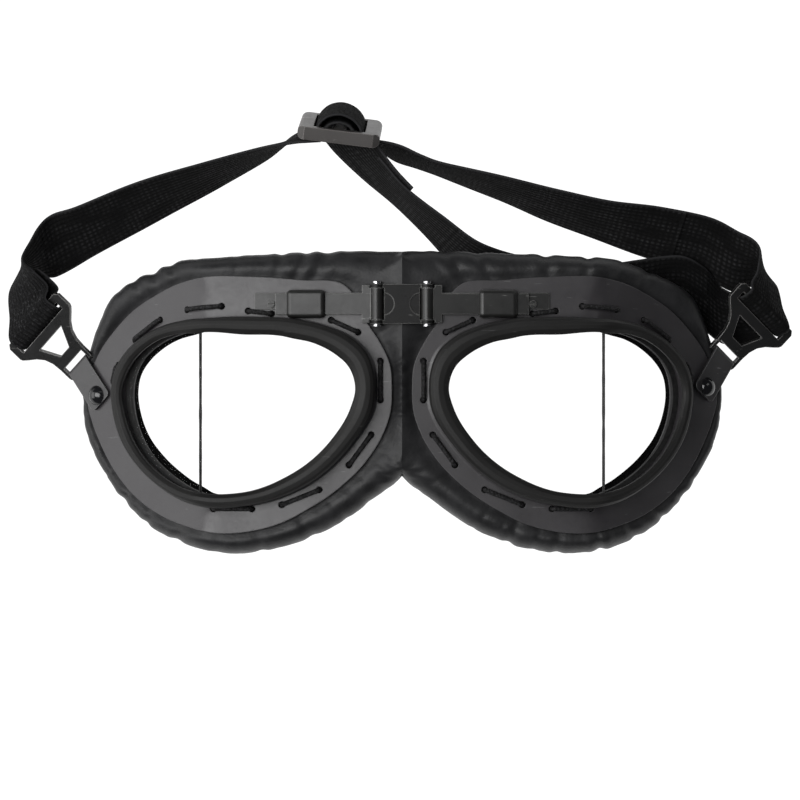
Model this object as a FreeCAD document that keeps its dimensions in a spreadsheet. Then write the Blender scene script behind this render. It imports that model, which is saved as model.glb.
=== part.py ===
import FreeCAD, Part
import math
import os
from FreeCAD import Matrix, Placement, Rotation, Vector

# Split-lens aviator goggles, lying on their face pads with the lenses up.
# +X runs from the wearer's-left eye cup to the other, +Y towards the brow, +Z out of the lenses.
# The origin is on the plane of symmetry, on the surface that the pads rest on. Millimetres.

DIMENSIONS = [
    # the two tilts of each eye cup, and where the lens is split
    ("nose_edge", 8.0), ("front_height", 47.0), ("split_place", 60.9), ("split_round", 3.0),
    ("front_tilt", 3.0), ("side_tilt", 36.0), ("wall_depth", 7.0), ("sheet_metal", 1.2),
    # bezel, lens and gasket, as distances in from the bezel's outer edge or down from its face
    ("wall_inset", 0.8), ("skirt_depth", 2.4), ("crown_rise", 1.1), ("lip_under", 0.9),
    ("lens_inset", 2.35), ("lens_top", 1.9), ("lens_thick", 1.8), ("lens_gap", 0.12),
    ("gasket_inset", 2.15), ("gasket_width", 1.7), ("gasket_top", 3.9), ("gasket_thick", 1.0),
    # face pads
    ("pad_drop", 4.2), ("nose_arch", 14.0), ("arch_reach", 75.0), ("brow_lift", 8.0),
    ("leather", 1.2), ("pad_slack", 0.25), ("pad_flat", 0.5),
    # lacing
    ("lace_hole", 2.0), ("lace_diameter", 1.4), ("lace_stand", 1.0),
    # bridge
    ("pin_place", 7.5), ("bridge_place", 29.2), ("pin_height", 41.4), ("pin_radius", 1.0),
    ("pin_length", 12.4), ("pin_cap", 0.45), ("running_fit", 0.06), ("knuckle_radius", 1.9),
    ("knuckle_length", 9.4), ("ear_gap", 0.25),
    ("plate_thick", 1.4), ("plate_height", 11.8), ("plate_reach", 5.3), ("ear_length", 1.2),
    ("moon_radius", 3.3), ("moon_depth", 0.5),
    ("tongue_width", 6.2), ("tongue_thick", 1.2), ("tongue_end", 30.3), ("tee_height", 11.2),
    ("tee_start", 2.2), ("tee_width", 2.2), ("keeper_start", 15.4), ("keeper_length", 11.4),
    ("keeper_height", 8.4), ("keeper_top", 2.3), ("keeper_round", 1.3),
    ("base_start", 2.6), ("base_length", 34.0), ("base_width", 5.0), ("base_rise", 0.9),
    ("base_thick", 0.6),
    ("screw_place", 31.6), ("screw_radius", 1.15), ("screw_head", 0.9), ("screw_shank", 0.8),
    # side links and strap plates
    ("rivet_place", 92.7), ("rivet_left_level", 2.0), ("rivet_right_level", 4.6),
    ("rivet_shank", 1.0), ("dome_radius", 3.0), ("dome_height", 1.7), ("washer_radius", 1.9),
    ("leaf_thick", 0.8), ("leaf_inner", 0.85), ("link_width", 8.6), ("link_length", 11.6),
    ("link_tip", 3.0), ("link_corner", 1.5),
    ("left_link_turn", 50.0), ("right_link_turn", 53.0),
    ("bar_radius", 0.73), ("buckle_thick", 1.4), ("buckle_length", 21.2),
    # strap and its adjuster
    ("strap_width", 20.0), ("strap_thick", 1.2),
    ("glide_length", 25.0), ("glide_height", 26.0), ("glide_thick", 4.0), ("glide_end", 4.6),
    ("glide_side", 2.6), ("glide_bar", 3.2), ("glide_corner", 2.0),
    ("glide_round", 1.5),
]

doc = FreeCAD.newDocument("goggles")
sheet = doc.addObject("Spreadsheet::Sheet", "dims")
for row, (alias, value) in enumerate(DIMENSIONS, start=1):
    sheet.set("A%d" % row, alias)
    sheet.set("B%d" % row, str(value))
    sheet.setAlias("B%d" % row, alias)
doc.recompute()


def dim(alias):
    """The value of a cell of the sheet."""
    return float(getattr(sheet, alias))


NODES = []


def finish_node(obj, label, placement=None):
    """Gives a finished sub-part its name and place, and keeps it for export."""
    obj.Label = label
    if placement is not None:
        obj.Placement = placement
    NODES.append(obj)
    return obj


# ---------------------------------------------------------------- plan outlines of one eye cup
# Each outline is a closed curve round LENS_CENTRE, given as (distance from the plane of symmetry,
# height on the face) and drawn by its distance from that centre at every angle.

LENS_CENTRE = (48.0, -3.5)
STATIONS = 96

OPENING = [
    (13.9, 4.2), (15.1, -1.2), (21.1, -11.3), (28.8, -18.7), (36.8, -23.4), (47.4, -26.8),
    (56.0, -27.3), (65.7, -25.6), (73.0, -21.5), (79.2, -15.0), (84.4, -3.0), (85.2, 3.4),
    (82.5, 10.6), (78.7, 15.0), (73.8, 18.3), (68.6, 20.0), (60.9, 20.5), (47.1, 20.0),
    (33.2, 19.0), (26.4, 17.5), (19.9, 14.2), (15.7, 10.2),
]
BEZEL = [
    (8.1, 4.2), (9.0, -2.7), (14.8, -12.2), (21.9, -19.9), (31.2, -26.1), (39.4, -29.3),
    (48.0, -31.0), (59.6, -31.1), (66.0, -29.4), (73.0, -25.4), (79.4, -19.8), (84.8, -12.2),
    (88.0, -1.2), (88.1, 4.6), (86.6, 10.6), (83.0, 15.8), (77.7, 20.1), (71.8, 22.9),
    (65.5, 24.3), (56.0, 24.9), (44.0, 25.1), (33.2, 24.6), (23.4, 22.6), (16.0, 19.5),
    (11.0, 15.1), (8.7, 9.8),
]
FLANGE = [
    (3.0, 4.2), (3.4, -2.9), (5.8, -9.9), (10.4, -17.3), (18.4, -25.4), (27.9, -31.9),
    (36.2, -36.2), (45.0, -38.6), (55.8, -39.2), (64.9, -37.3), (73.8, -33.8), (82.1, -27.8),
    (88.2, -20.4), (92.3, -13.0), (95.2, -6.0), (96.9, 1.4), (95.6, 8.8), (92.6, 15.4),
    (87.6, 22.0), (81.4, 28.0), (74.6, 32.2), (67.4, 35.5), (58.7, 37.4), (47.1, 37.5),
    (36.9, 37.0), (28.6, 36.3), (18.6, 35.6), (14.4, 32.0), (10.6, 24.0), (6.6, 17.8),
    (3.6, 11.2),
]
PAD = [
    (0.4, 4.0), (0.4, -9.0), (0.8, -21.5), (3.4, -25.6), (9.6, -30.0), (19.9, -37.3),
    (29.0, -41.6), (38.4, -44.4), (48.0, -45.8), (57.6, -45.3), (66.8, -42.8), (75.4, -39.0),
    (82.6, -33.0), (89.2, -25.0), (94.0, -17.6), (97.4, -9.4), (98.6, 0.8), (97.8, 9.8),
    (95.4, 18.6), (92.0, 27.0), (88.6, 32.4), (81.5, 37.0), (74.6, 40.0), (66.8, 42.6),
    (55.4, 43.8), (44.0, 44.4), (31.0, 44.8), (19.0, 45.2), (8.6, 45.5), (2.6, 44.2),
    (0.4, 39.5), (0.4, 26.0), (0.4, 14.0),
]


def polar(points):
    """An outline as sorted (angle, distance) pairs round the lens centre."""
    pairs = []
    for across, up in points:
        x, y = across - LENS_CENTRE[0], up - LENS_CENTRE[1]
        pairs.append((math.atan2(y, x) % math.tau, math.hypot(x, y)))
    return sorted(pairs)


def reach(pairs, angle):
    """Distance of a closed outline from the lens centre: a cubic through its neighbours."""
    angle %= math.tau
    n = len(pairs)
    k = next((i for i in range(n) if pairs[i][0] > angle), 0)
    ring = []
    for step in (-2, -1, 0, 1):
        a, r = pairs[(k + step) % n]
        turn = round((angle - a) / math.tau) * math.tau
        ring.append((a + turn, r))
    (a0, r0), (a1, r1), (a2, r2), (a3, r3) = ring
    if a1 > angle:
        a0, a1 = a0 - math.tau, a1 - math.tau
    slope1 = (r2 - r0) / (a2 - a0)
    slope2 = (r3 - r1) / (a3 - a1)
    span = a2 - a1
    t = (angle - a1) / span
    return (r1 * (2 * t**3 - 3 * t**2 + 1) + slope1 * span * (t**3 - 2 * t**2 + t)
            + r2 * (-2 * t**3 + 3 * t**2) + slope2 * span * (t**3 - t**2))


OUTLINES = {name: polar(points) for name, points in
            (("opening", OPENING), ("bezel", BEZEL), ("flange", FLANGE), ("pad", PAD))}


def plan(name, angle, inset=0.0):
    """A point of an outline, moved towards the lens centre by inset."""
    r = reach(OUTLINES[name], angle) - inset
    return LENS_CENTRE[0] + r * math.cos(angle), LENS_CENTRE[1] + r * math.sin(angle)


# ---------------------------------------------------------------- the bent face of one eye cup

FRONT_SLOPE = math.tan(math.radians(dim("front_tilt")))
SIDE_SLOPE = math.tan(math.radians(dim("side_tilt")))


def face_height(across):
    """Height of the bezel's face: two planes that meet in a rounded bend at the lens split."""
    past = across - dim("split_place")
    bend = (past + math.hypot(past, dim("split_round"))) / 2
    return (dim("front_height") - FRONT_SLOPE * (across - dim("nose_edge"))
            - (SIDE_SLOPE - FRONT_SLOPE) * bend)


def face_tilt(across):
    """Slope angle of that face, in radians."""
    past = across - dim("split_place")
    share = (1 + past / math.hypot(past, dim("split_round"))) / 2
    return math.atan(FRONT_SLOPE + (SIDE_SLOPE - FRONT_SLOPE) * share)


def flange_height(across):
    """Height of the flange's upper side, which lies one wall depth behind the face."""
    return face_height(across) - dim("wall_depth") / math.cos(face_tilt(across))


def pad_floor(across, up):
    """Height of the pad's underside: flat at the temples, arched over the nose and the brow."""
    share = max(0.0, 1 - (across / dim("arch_reach")) ** 2)
    brow = min(1.0, max(0.0, (up - 14.0) / 16.0))
    temple = min(1.0, max(0.0, (96.0 - across) / 14.0))
    lift = dim("nose_arch") * share + dim("brow_lift") * brow * brow * (3 - 2 * brow) * temple
    return lift - dim("pad_flat")


def sunk(point, depth):
    """A plan point taken down square to the face by depth."""
    across, up = point
    tilt = face_tilt(across)
    return (across - depth * math.sin(tilt), up, face_height(across) - depth * math.cos(tilt))


def rail(side, point_at):
    """A closed smooth curve through one point for each station."""
    points = []
    for n in range(STATIONS):
        across, up, height = point_at(math.tau * n / STATIONS)
        points.append(Vector(side * across, up, height))
    curve = Part.BSplineCurve()
    curve.interpolate(Points=points, PeriodicFlag=True)
    return curve.toShape()


def ring_solid(side, sections):
    """A closed ring whose cross-section has one corner on each rail."""
    edges = [rail(side, section) for section in sections]
    faces = [Part.makeRuledSurface(edges[n], edges[(n + 1) % len(edges)])
             for n in range(len(edges))]
    solid = Part.Solid(Part.Shell(faces))
    if solid.Volume < 0:
        solid.reverse()
    return solid


def computed(label, shape):
    """A sub-part whose shape follows the bent face."""
    obj = doc.addObject("Part::Feature", label)
    obj.Shape = shape
    return finish_node(obj, label)


# ---------------------------------------------------------------- frame, bezel, gasket, pads

WORD = {-1: "left", 1: "right"}
# each stitch over the flange: its first hole, a rise over the bend where it crosses one, its last
LACE_STITCHES = [
    ((56.4, -31.9), (44.8, -31.9)), ((35.9, -30.7), (24.7, -26.2)),
    ((15.8, -18.8), (9.2, -9.8)), ((6.4, 0.6), (6.4, 12.2)),
    ((13.1, 20.8), (21.1, 24.4)), ((38.9, 26.3), (45.9, 27.2)),
    ((53.9, 28.6), (59.4, 28.3), (64.6, 27.7)), ((73.0, 24.8), (81.2, 18.8)),
    ((86.6, 11.2), (88.0, 5.4)),
]


def frame_shape(side, rivet_level):
    """Upright wall and laced flange, pressed from one sheet."""
    inset, depth, metal = dim("wall_inset"), dim("wall_depth"), dim("sheet_metal")
    foot = depth - 0.05

    def flange_rim(drop):
        def at(angle):
            across, up = plan("flange", angle)
            return across, up, flange_height(across) - drop
        return at

    sections = [
        lambda a: sunk(plan("bezel", a, inset + metal), dim("lip_under") + 0.3),
        lambda a: sunk(plan("bezel", a, inset), dim("lip_under") + 0.3),
        lambda a: sunk(plan("bezel", a, inset), depth - 1.2),
        lambda a: sunk(plan("bezel", a, inset - 0.4), depth - 0.35),
        lambda a: sunk(plan("bezel", a, inset - 1.3), foot),
        flange_rim(0.0),
        flange_rim(metal),
        lambda a: sunk(plan("bezel", a, inset + metal), depth + metal),
    ]
    shape = ring_solid(side, sections)
    drills = [lace_drill(side, hole)
              for stitch in LACE_STITCHES for hole in (stitch[0], stitch[-1])]
    spot = Placement(rivet_spot(side, rivet_level), face_turn(side, dim("rivet_place")))
    drill = Part.makeCylinder(dim("rivet_shank") + 0.02, 8, Vector(0, 0, -4))
    drill.Placement = spot
    seat = Part.makeCylinder(dim("screw_shank") + 0.02, 8, Vector(dim("screw_place"), 0, -6))
    seat.Placement = tongue_place(side)
    return shape.cut(drills + [drill, seat])


def face_turn(side, across):
    """Rotation that lays a flat part on the tilted face at that place."""
    return Rotation(Vector(0, 1, 0), math.degrees(side * face_tilt(across)))


def lace_point(side, hole, lift):
    """A point lift above the flange's upper side, square to it, over a lacing hole."""
    across, up = hole
    tilt = face_tilt(across)
    return Vector(side * (across + lift * math.sin(tilt)), up,
                  flange_height(across) + lift * math.cos(tilt))


def lace_drill(side, hole):
    low, high = lace_point(side, hole, -4.0), lace_point(side, hole, 3.0)
    return Part.makeCylinder(dim("lace_hole") / 2, (high - low).Length, low, high - low)


def bezel_shape(side):
    """Rolled rim that clamps the lens: crowned face, skirt outside the wall."""
    rise, lip, skirt = dim("crown_rise"), dim("lip_under"), dim("skirt_depth")

    def between(share, depth):
        def at(angle):
            a, b = plan("opening", angle), plan("bezel", angle)
            point = (a[0] + (b[0] - a[0]) * share, a[1] + (b[1] - a[1]) * share)
            return sunk(point, depth)
        return at

    return ring_solid(side, [
        between(1.0, skirt), between(1.015, 0.6), between(0.93, -0.25), between(0.78, -0.8 * rise),
        between(0.55, -rise), between(0.3, -0.85 * rise), between(0.08, -0.3), between(0.0, 0.25),
        between(0.02, lip),
        lambda a: sunk(plan("bezel", a, dim("wall_inset") - 0.08), lip),
        lambda a: sunk(plan("bezel", a, dim("wall_inset") - 0.08), skirt),
    ])


def gasket_shape(side):
    """Rubber ring that the lens panes sit on, against the inside of the wall."""
    outer, width = dim("gasket_inset"), dim("gasket_width")
    top, foot = dim("gasket_top"), dim("gasket_top") + dim("gasket_thick")
    corners = [(outer, top), (outer, foot), (outer + width, foot), (outer + width, top)]
    return ring_solid(side, [
        (lambda a, inset=inset, depth=depth: sunk(plan("bezel", a, inset), depth))
        for inset, depth in corners])


def pad_section(angle, inset_share, height_share, skin):
    """A point of the pad's cross-section: 0 to 1 from inner to outer edge and floor to top."""
    outer = plan("pad", angle, skin)
    inner_top = sunk(plan("bezel", angle, 0), dim("wall_depth"))
    inward = 3.2 + 1.3 * max(0.0, math.cos(angle + 0.7)) - skin
    reach_in = math.hypot(inner_top[0] - LENS_CENTRE[0], inner_top[1] - LENS_CENTRE[1]) - inward
    inner = (LENS_CENTRE[0] + reach_in * math.cos(angle),
             LENS_CENTRE[1] + reach_in * math.sin(angle))
    across = inner[0] + (outer[0] - inner[0]) * inset_share
    up = inner[1] + (outer[1] - inner[1]) * inset_share
    rim = plan("flange", angle)[0]
    roof = flange_height(min(across, rim)) - dim("pad_drop") - skin
    floor = pad_floor(across, up) + skin
    return across, up, floor + (roof - floor) * height_share


PAD_PROFILE = [
    (0.80, 1.0), (0.93, 0.86), (1.0, 0.55), (0.96, 0.2), (0.82, 0.0),
    (0.25, 0.0), (0.06, 0.16), (0.0, 0.5), (0.06, 0.86), (0.2, 1.0),
]


def pad_rails(side, profile, skin):
    return [(lambda a, s=s, h=h: pad_section(a, s, h, skin)) for s, h in profile]


def cover_shape(side):
    """Leather channel round the foam, open under the flange where the lacing gathers it."""
    outside = pad_rails(side, PAD_PROFILE, 0.0)
    inside = pad_rails(side, PAD_PROFILE, dim("leather"))
    below = Part.makeBox(240, 120, 10, Vector(-120, -60, -10))
    return ring_solid(side, outside + inside[::-1]).cut(below)


def foam_shape(side):
    """Foam ring inside the leather channel."""
    return ring_solid(side, pad_rails(side, PAD_PROFILE, dim("leather") + dim("pad_slack")))


def pane_shape(side, is_side_pane):
    """One flat lens pane, mitred against its neighbour at the split."""
    slope = SIDE_SLOPE if is_side_pane else FRONT_SLOPE
    tilt = math.atan(slope)
    split = dim("split_place")
    start = (dim("front_height") - FRONT_SLOPE * (split - dim("nose_edge")))
    half_bend = math.radians(dim("front_tilt") + dim("side_tilt")) / 2

    def mitre(depth):
        turn = half_bend - math.radians(dim("front_tilt"))
        shift = depth / math.cos(turn) * math.sin(half_bend)
        return split - shift + (dim("lens_gap") if is_side_pane else -dim("lens_gap"))

    def on_plane(angle, depth):
        across, up = plan("bezel", angle, dim("lens_inset"))
        inner = across - depth * math.sin(face_tilt(across))
        height = start - slope * (inner - split) - depth / math.cos(tilt)
        return Vector(side * inner, up, height)

    def edges_at(depth):
        limit = mitre(depth)
        sign = 1 if is_side_pane else -1
        inside = [n for n in range(STATIONS * 2)
                  if sign * (side * on_plane(math.pi * n / STATIONS, depth).x - limit) > 0]
        if is_side_pane:
            inside = sorted(inside, key=lambda n: (n + STATIONS) % (2 * STATIONS))
        angles = [math.pi * n / STATIONS for n in inside]
        step = math.pi / STATIONS

        def cut_angle(inner, outer):
            for _ in range(40):
                middle = (inner + outer) / 2
                if sign * (side * on_plane(middle, depth).x - limit) > 0:
                    inner = middle
                else:
                    outer = middle
            return inner

        first = cut_angle(angles[0], angles[0] - step)
        last = cut_angle(angles[-1], angles[-1] + step)
        points = [on_plane(a, depth) for a in [first] + angles[1:-1] + [last]]
        curve = Part.BSplineCurve()
        curve.interpolate(points)
        return curve.toShape(), Part.makeLine(points[-1], points[0])

    top_curve, top_line = edges_at(dim("lens_top"))
    low_curve, low_line = edges_at(dim("lens_top") + dim("lens_thick"))
    faces = [
        Part.Face(Part.Wire([top_curve, top_line])), Part.Face(Part.Wire([low_curve, low_line])),
        Part.makeRuledSurface(top_curve, low_curve), Part.makeRuledSurface(top_line, low_line)]
    solid = Part.Solid(Part.Shell(faces))
    if not solid.isValid() or solid.Volume < 0:
        sewn = Part.makeShell(faces)
        sewn.sewShape()
        solid = Part.Solid(sewn)
        if solid.Volume < 0:
            solid.reverse()
    return solid


def rounded_path(points, share=0.45):
    """Straight runs joined by tangent arcs, and the arcs' radii."""
    edges, radii, start = [], [], points[0]
    for before, corner, after in zip(points, points[1:], points[2:]):
        back, onward = before - corner, after - corner
        half = (math.pi - back.getAngle(onward)) / 2
        trim = share * min(back.Length, onward.Length)
        radii.append(trim / math.tan(half))
        back.normalize()
        onward.normalize()
        enter, leave = corner + back * trim, corner + onward * trim
        bisector = back + onward
        bisector.normalize()
        middle = corner + bisector * (trim / math.sin(half) - radii[-1])
        edges += [Part.makeLine(start, enter), Part.Arc(enter, middle, leave).toShape()]
        start = leave
    edges.append(Part.makeLine(start, points[-1]))
    return Part.Wire(edges), radii


def lacing_shape(side):
    """The cord that laces the leather on: down and up through each pair of holes in turn."""
    over, under = dim("lace_stand"), -dim("sheet_metal") - dim("lace_stand")
    points = []
    for stitch in LACE_STITCHES:
        points.append(lace_point(side, stitch[0], under))
        points += [lace_point(side, place, over) for place in stitch]
        points.append(lace_point(side, stitch[-1], under))
    first, last = LACE_STITCHES[0][0], LACE_STITCHES[-1][-1]
    points.insert(0, lace_point(side, (first[0] + 5.0, first[1] + 0.2), under))
    points.append(lace_point(side, (last[0] - 0.4, last[1] - 4.6), under))
    wire, radii = rounded_path(points)
    start = points[0]
    profile = Part.Wire(Part.makeCircle(dim("lace_diameter") / 2, start, points[1] - start))
    solid = wire.makePipeShell([profile], True, True)
    section = math.pi * dim("lace_diameter") ** 2 / 4
    print("lacing", WORD[side], "length %.1f" % wire.Length, "smallest arc %.2f" % min(radii),
          "volume share %.3f" % (solid.Volume / (section * wire.Length)))
    return solid


# ---------------------------------------------------------------- parametric helpers


def bind(obj, **expressions):
    """Binds properties of an object to cells of the sheet."""
    for prop, expression in expressions.items():
        obj.setExpression(prop, expression)
    return obj


def box(name, length, width, height, at):
    """A box whose corner lies at (x, y, z), each written in cells of the sheet."""
    obj = doc.addObject("Part::Box", name)
    bind(obj, Length=length, Width=width, Height=height)
    for axis, expression in zip("xyz", at):
        obj.setExpression("Placement.Base." + axis, expression)
    return obj


def rod(name, radius, height, at, axis=Vector(0, 0, 1)):
    """A cylinder along axis that starts at (x, y, z)."""
    obj = doc.addObject("Part::Cylinder", name)
    bind(obj, Radius=radius, Height=height)
    obj.Placement = Placement(Vector(), Rotation(Vector(0, 0, 1), axis))
    for letter, expression in zip("xyz", at):
        obj.setExpression("Placement.Base." + letter, expression)
    return obj


def joined(name, pieces):
    obj = doc.addObject("Part::MultiFuse", name)
    obj.Shapes = pieces
    return obj


def cut_away(name, base, tools):
    """base without the tools, as one cut."""
    obj = doc.addObject("Part::Cut", name)
    obj.Base = base
    obj.Tool = tools[0] if len(tools) == 1 else joined(name + "_tools", tools)
    return obj


def body_with_sketch(name, role="XY_Plane"):
    """A body and a sketch on one of its origin planes."""
    body = doc.addObject("PartDesign::Body", name)
    sketch = body.newObject("Sketcher::SketchObject", name + "_sketch")
    plane = next(f for f in body.Origin.OriginFeatures if f.Role == role)
    sketch.AttachmentSupport = [(plane, "")]
    sketch.MapMode = "FlatFace"
    return body, sketch


def draw_loop(sketch, points):
    """A closed polygon in a sketch."""
    for n, (x, y) in enumerate(points):
        nx, ny = points[(n + 1) % len(points)]
        sketch.addGeometry(Part.LineSegment(Vector(x, y, 0), Vector(nx, ny, 0)), False)


def padded(body, sketch, length, both_ways=True):
    pad = body.newObject("PartDesign::Pad", body.Name + "_pad")
    pad.Profile = sketch
    pad.setExpression("Length", length)
    pad.Midplane = both_ways
    body.Tip = pad
    return pad


def frame_of(origin, x_axis, z_axis):
    """Placement whose local x and z axes point along the two given directions."""
    x, z = Vector(x_axis).normalize(), Vector(z_axis).normalize()
    y = z.cross(x)
    matrix = Matrix(x.x, y.x, z.x, origin.x, x.y, y.y, z.y, origin.y, x.z, y.z, z.z, origin.z)
    return Placement(matrix)


# ---------------------------------------------------------------- bridge

BRIDGE_CENTRE = Vector(0, dim("bridge_place"), dim("pin_height"))


def build_bridge():
    """Centre plate with an ear round each end of both hinge pins."""
    web = box("bridge_web", "2 * dims.plate_reach", "dims.plate_height", "dims.plate_thick",
              ("-dims.plate_reach", "-dims.plate_height / 2", "-dims.plate_thick / 2"))
    pieces, holes = [web], []
    for side in (-1, 1):
        for end in (-1, 1):
            tag = "%s_%s" % (WORD[side], "upper" if end > 0 else "lower")
            start = ("dims.pin_length / 2 - dims.ear_length - dims.ear_gap" if end > 0
                     else "-dims.pin_length / 2 + dims.ear_gap")
            ear_at = ("%d * dims.pin_place" % side, start, "0")
            pieces.append(rod("ear_" + tag, "dims.knuckle_radius", "dims.ear_length", ear_at,
                              Vector(0, 1, 0)))
            arm_x = "dims.plate_reach - 0.5" if side > 0 else "-dims.pin_place"
            pieces.append(box("arm_" + tag, "dims.pin_place - dims.plate_reach + 0.5",
                              "dims.ear_length", "dims.plate_thick",
                              (arm_x, start, "-dims.plate_thick / 2")))
        hole_at = ("%d * dims.pin_place" % side, "-dims.pin_length", "0")
        holes.append(rod("ear_hole_" + WORD[side], "dims.pin_radius + 0.01",
                         "2 * dims.pin_length", hole_at, Vector(0, 1, 0)))
        moon_at = ("%d * (dims.plate_reach + 0.3)" % side, "0",
                   "dims.plate_thick / 2 - dims.moon_depth")
        holes.append(rod("moon_" + WORD[side], "dims.moon_radius", "dims.plate_thick", moon_at))
    whole = cut_away("bridge_whole", joined("bridge_joined", pieces), holes)
    finish_node(whole, "bridge_plate", Placement(BRIDGE_CENTRE, Rotation()))
    for side in (-1, 1):
        name = "hinge_pin_" + WORD[side]
        shaft = rod(name + "_shaft", "dims.pin_radius", "dims.pin_length",
                    ("0", "-dims.pin_length / 2", "0"), Vector(0, 1, 0))
        caps = []
        for end in (-1, 1):
            at = "dims.pin_length / 2 - 0.01" if end > 0 else "-dims.pin_length / 2 - 0.49"
            caps.append(rod("%s_head_%s" % (name, "upper" if end > 0 else "lower"),
                            "dims.pin_radius + dims.pin_cap", "0.5", ("0", at, "0"),
                            Vector(0, 1, 0)))
        pin = joined(name + "_whole", [shaft] + caps)
        place = Placement(BRIDGE_CENTRE + Vector(side * dim("pin_place"), 0, 0), Rotation())
        finish_node(pin, name, place)


def tongue_place(side):
    """Frame of a tongue: origin on its hinge pin, x outwards along it, z out of the flange."""
    tilt = math.radians(dim("front_tilt"))
    outward = Vector(side * math.cos(tilt), 0, -math.sin(tilt))
    normal = Vector(side * math.sin(tilt), 0, math.cos(tilt))
    return frame_of(BRIDGE_CENTRE + Vector(side * dim("pin_place"), 0, 0), outward, normal)


def build_tongue(side):
    """Sliding tongue with its hinged head, its keeper, its base plate and its screw."""
    word = WORD[side]
    place = tongue_place(side)
    half = "-dims.tongue_thick / 2"
    strip = box("strip_" + word, "dims.tongue_end - 1", "dims.tongue_width",
                "dims.tongue_thick", ("1", "-dims.tongue_width / 2", half))
    tee = box("tee_" + word, "dims.tee_width", "dims.tee_height", "dims.tongue_thick",
              ("dims.tee_start", "-dims.tee_height / 2", half))
    knuckle = rod("knuckle_" + word, "dims.knuckle_radius - 0.05", "dims.knuckle_length",
                  ("0", "-dims.knuckle_length / 2", "0"), Vector(0, 1, 0))
    root = box("root_" + word, "dims.tee_start", "dims.knuckle_length", "dims.tongue_thick",
               ("0.2", "-dims.knuckle_length / 2", half))
    eye = rod("knuckle_eye_" + word, "dims.pin_radius + dims.running_fit",
              "dims.knuckle_length + 4", ("0", "-dims.knuckle_length / 2 - 2", "0"),
              Vector(0, 1, 0))
    notch = rod("notch_" + word, "dims.screw_radius + 0.25", "4", ("dims.screw_place", "0", "-2"))
    blank = joined("tongue_blank_" + word, [strip, tee, knuckle, root])
    tongue = cut_away("tongue_whole_" + word, blank, [eye, notch])
    finish_node(tongue, "bridge_tongue_" + word, place)

    under = "-dims.tongue_thick / 2 - 0.1 - dims.base_thick"
    base = box("base_" + word, "dims.base_length", "dims.base_width", "dims.base_thick",
               ("dims.base_start", "%d * dims.base_rise - dims.base_width / 2" % side, under))
    seat = rod("base_hole_" + word, "dims.screw_shank + 0.02", "4", ("dims.screw_place", "0", "-3"))
    finish_node(cut_away("base_whole_" + word, base, [seat]), "bridge_base_" + word, place)

    keeper = box("keeper_block_" + word, "dims.keeper_length", "dims.keeper_height",
                 "dims.keeper_top + dims.tongue_thick / 2",
                 ("dims.keeper_start", "-dims.keeper_height / 2", half))
    edged = doc.addObject("Part::Fillet", "keeper_edged_" + word)
    edged.Base = keeper
    doc.recompute()
    top = max(v.Point.z for v in keeper.Shape.Vertexes)
    folds = [n for n, e in enumerate(keeper.Shape.Edges, start=1)
             if any(abs(v.Point.z - top) < 1e-6 for v in e.Vertexes)]
    edged.Edges = [(n, dim("keeper_round"), dim("keeper_round")) for n in folds]
    slot = box("keeper_slot_" + word, "dims.keeper_length + 4", "dims.tongue_width + 0.4",
               "dims.tongue_thick + 0.35",
               ("dims.keeper_start - 2", "-dims.tongue_width / 2 - 0.2", half + " - 0.2"))
    finish_node(cut_away("keeper_whole_" + word, edged, [slot]), "tongue_keeper_" + word, place)

    shank = rod("screw_shank_" + word, "dims.screw_shank", "3.4",
                ("dims.screw_place", "0", "-dims.tongue_thick / 2 - 3.0"))
    head = rod("screw_head_" + word, "dims.screw_radius", "dims.screw_head",
               ("dims.screw_place", "0", "-dims.tongue_thick / 2 - 0.05"))
    drive = box("screw_drive_" + word, "3", "0.35", "0.5",
                ("dims.screw_place - 1.5", "-0.175", "-dims.tongue_thick / 2 + 0.5"))
    screw = cut_away("screw_whole_" + word, joined("screw_blank_" + word, [shank, head]), [drive])
    finish_node(screw, "tongue_screw_" + word, place)
    return place


# ---------------------------------------------------------------- rivets, links, strap plates


def rivet_spot(side, level):
    """Middle of the flange's thickness at the rivet."""
    across = dim("rivet_place")
    return Vector(side * across, level, flange_height(across) - dim("sheet_metal") / 2)


def link_axes(side, turn):
    """Outward direction, folded edge's direction and normal of a link on the sloping flange."""
    tilt, turn = face_tilt(dim("rivet_place")), math.radians(turn)
    down = Vector(side * math.cos(tilt), 0, -math.sin(tilt))
    outward = down * math.cos(turn) + Vector(0, 1, 0) * math.sin(turn)
    normal = Vector(side * math.sin(tilt), 0, math.cos(tilt))
    return outward, normal.cross(outward), normal


def buckle_axes(side, turn):
    """Outward direction and normal of a strap plate: level along its length, tilted across."""
    bar = link_axes(side, turn)[1]
    normal = Vector(0, 0, 1) - bar * bar.z
    normal.normalize()
    return bar.cross(normal) if bar.cross(normal).x * side > 0 else normal.cross(bar), normal


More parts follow.
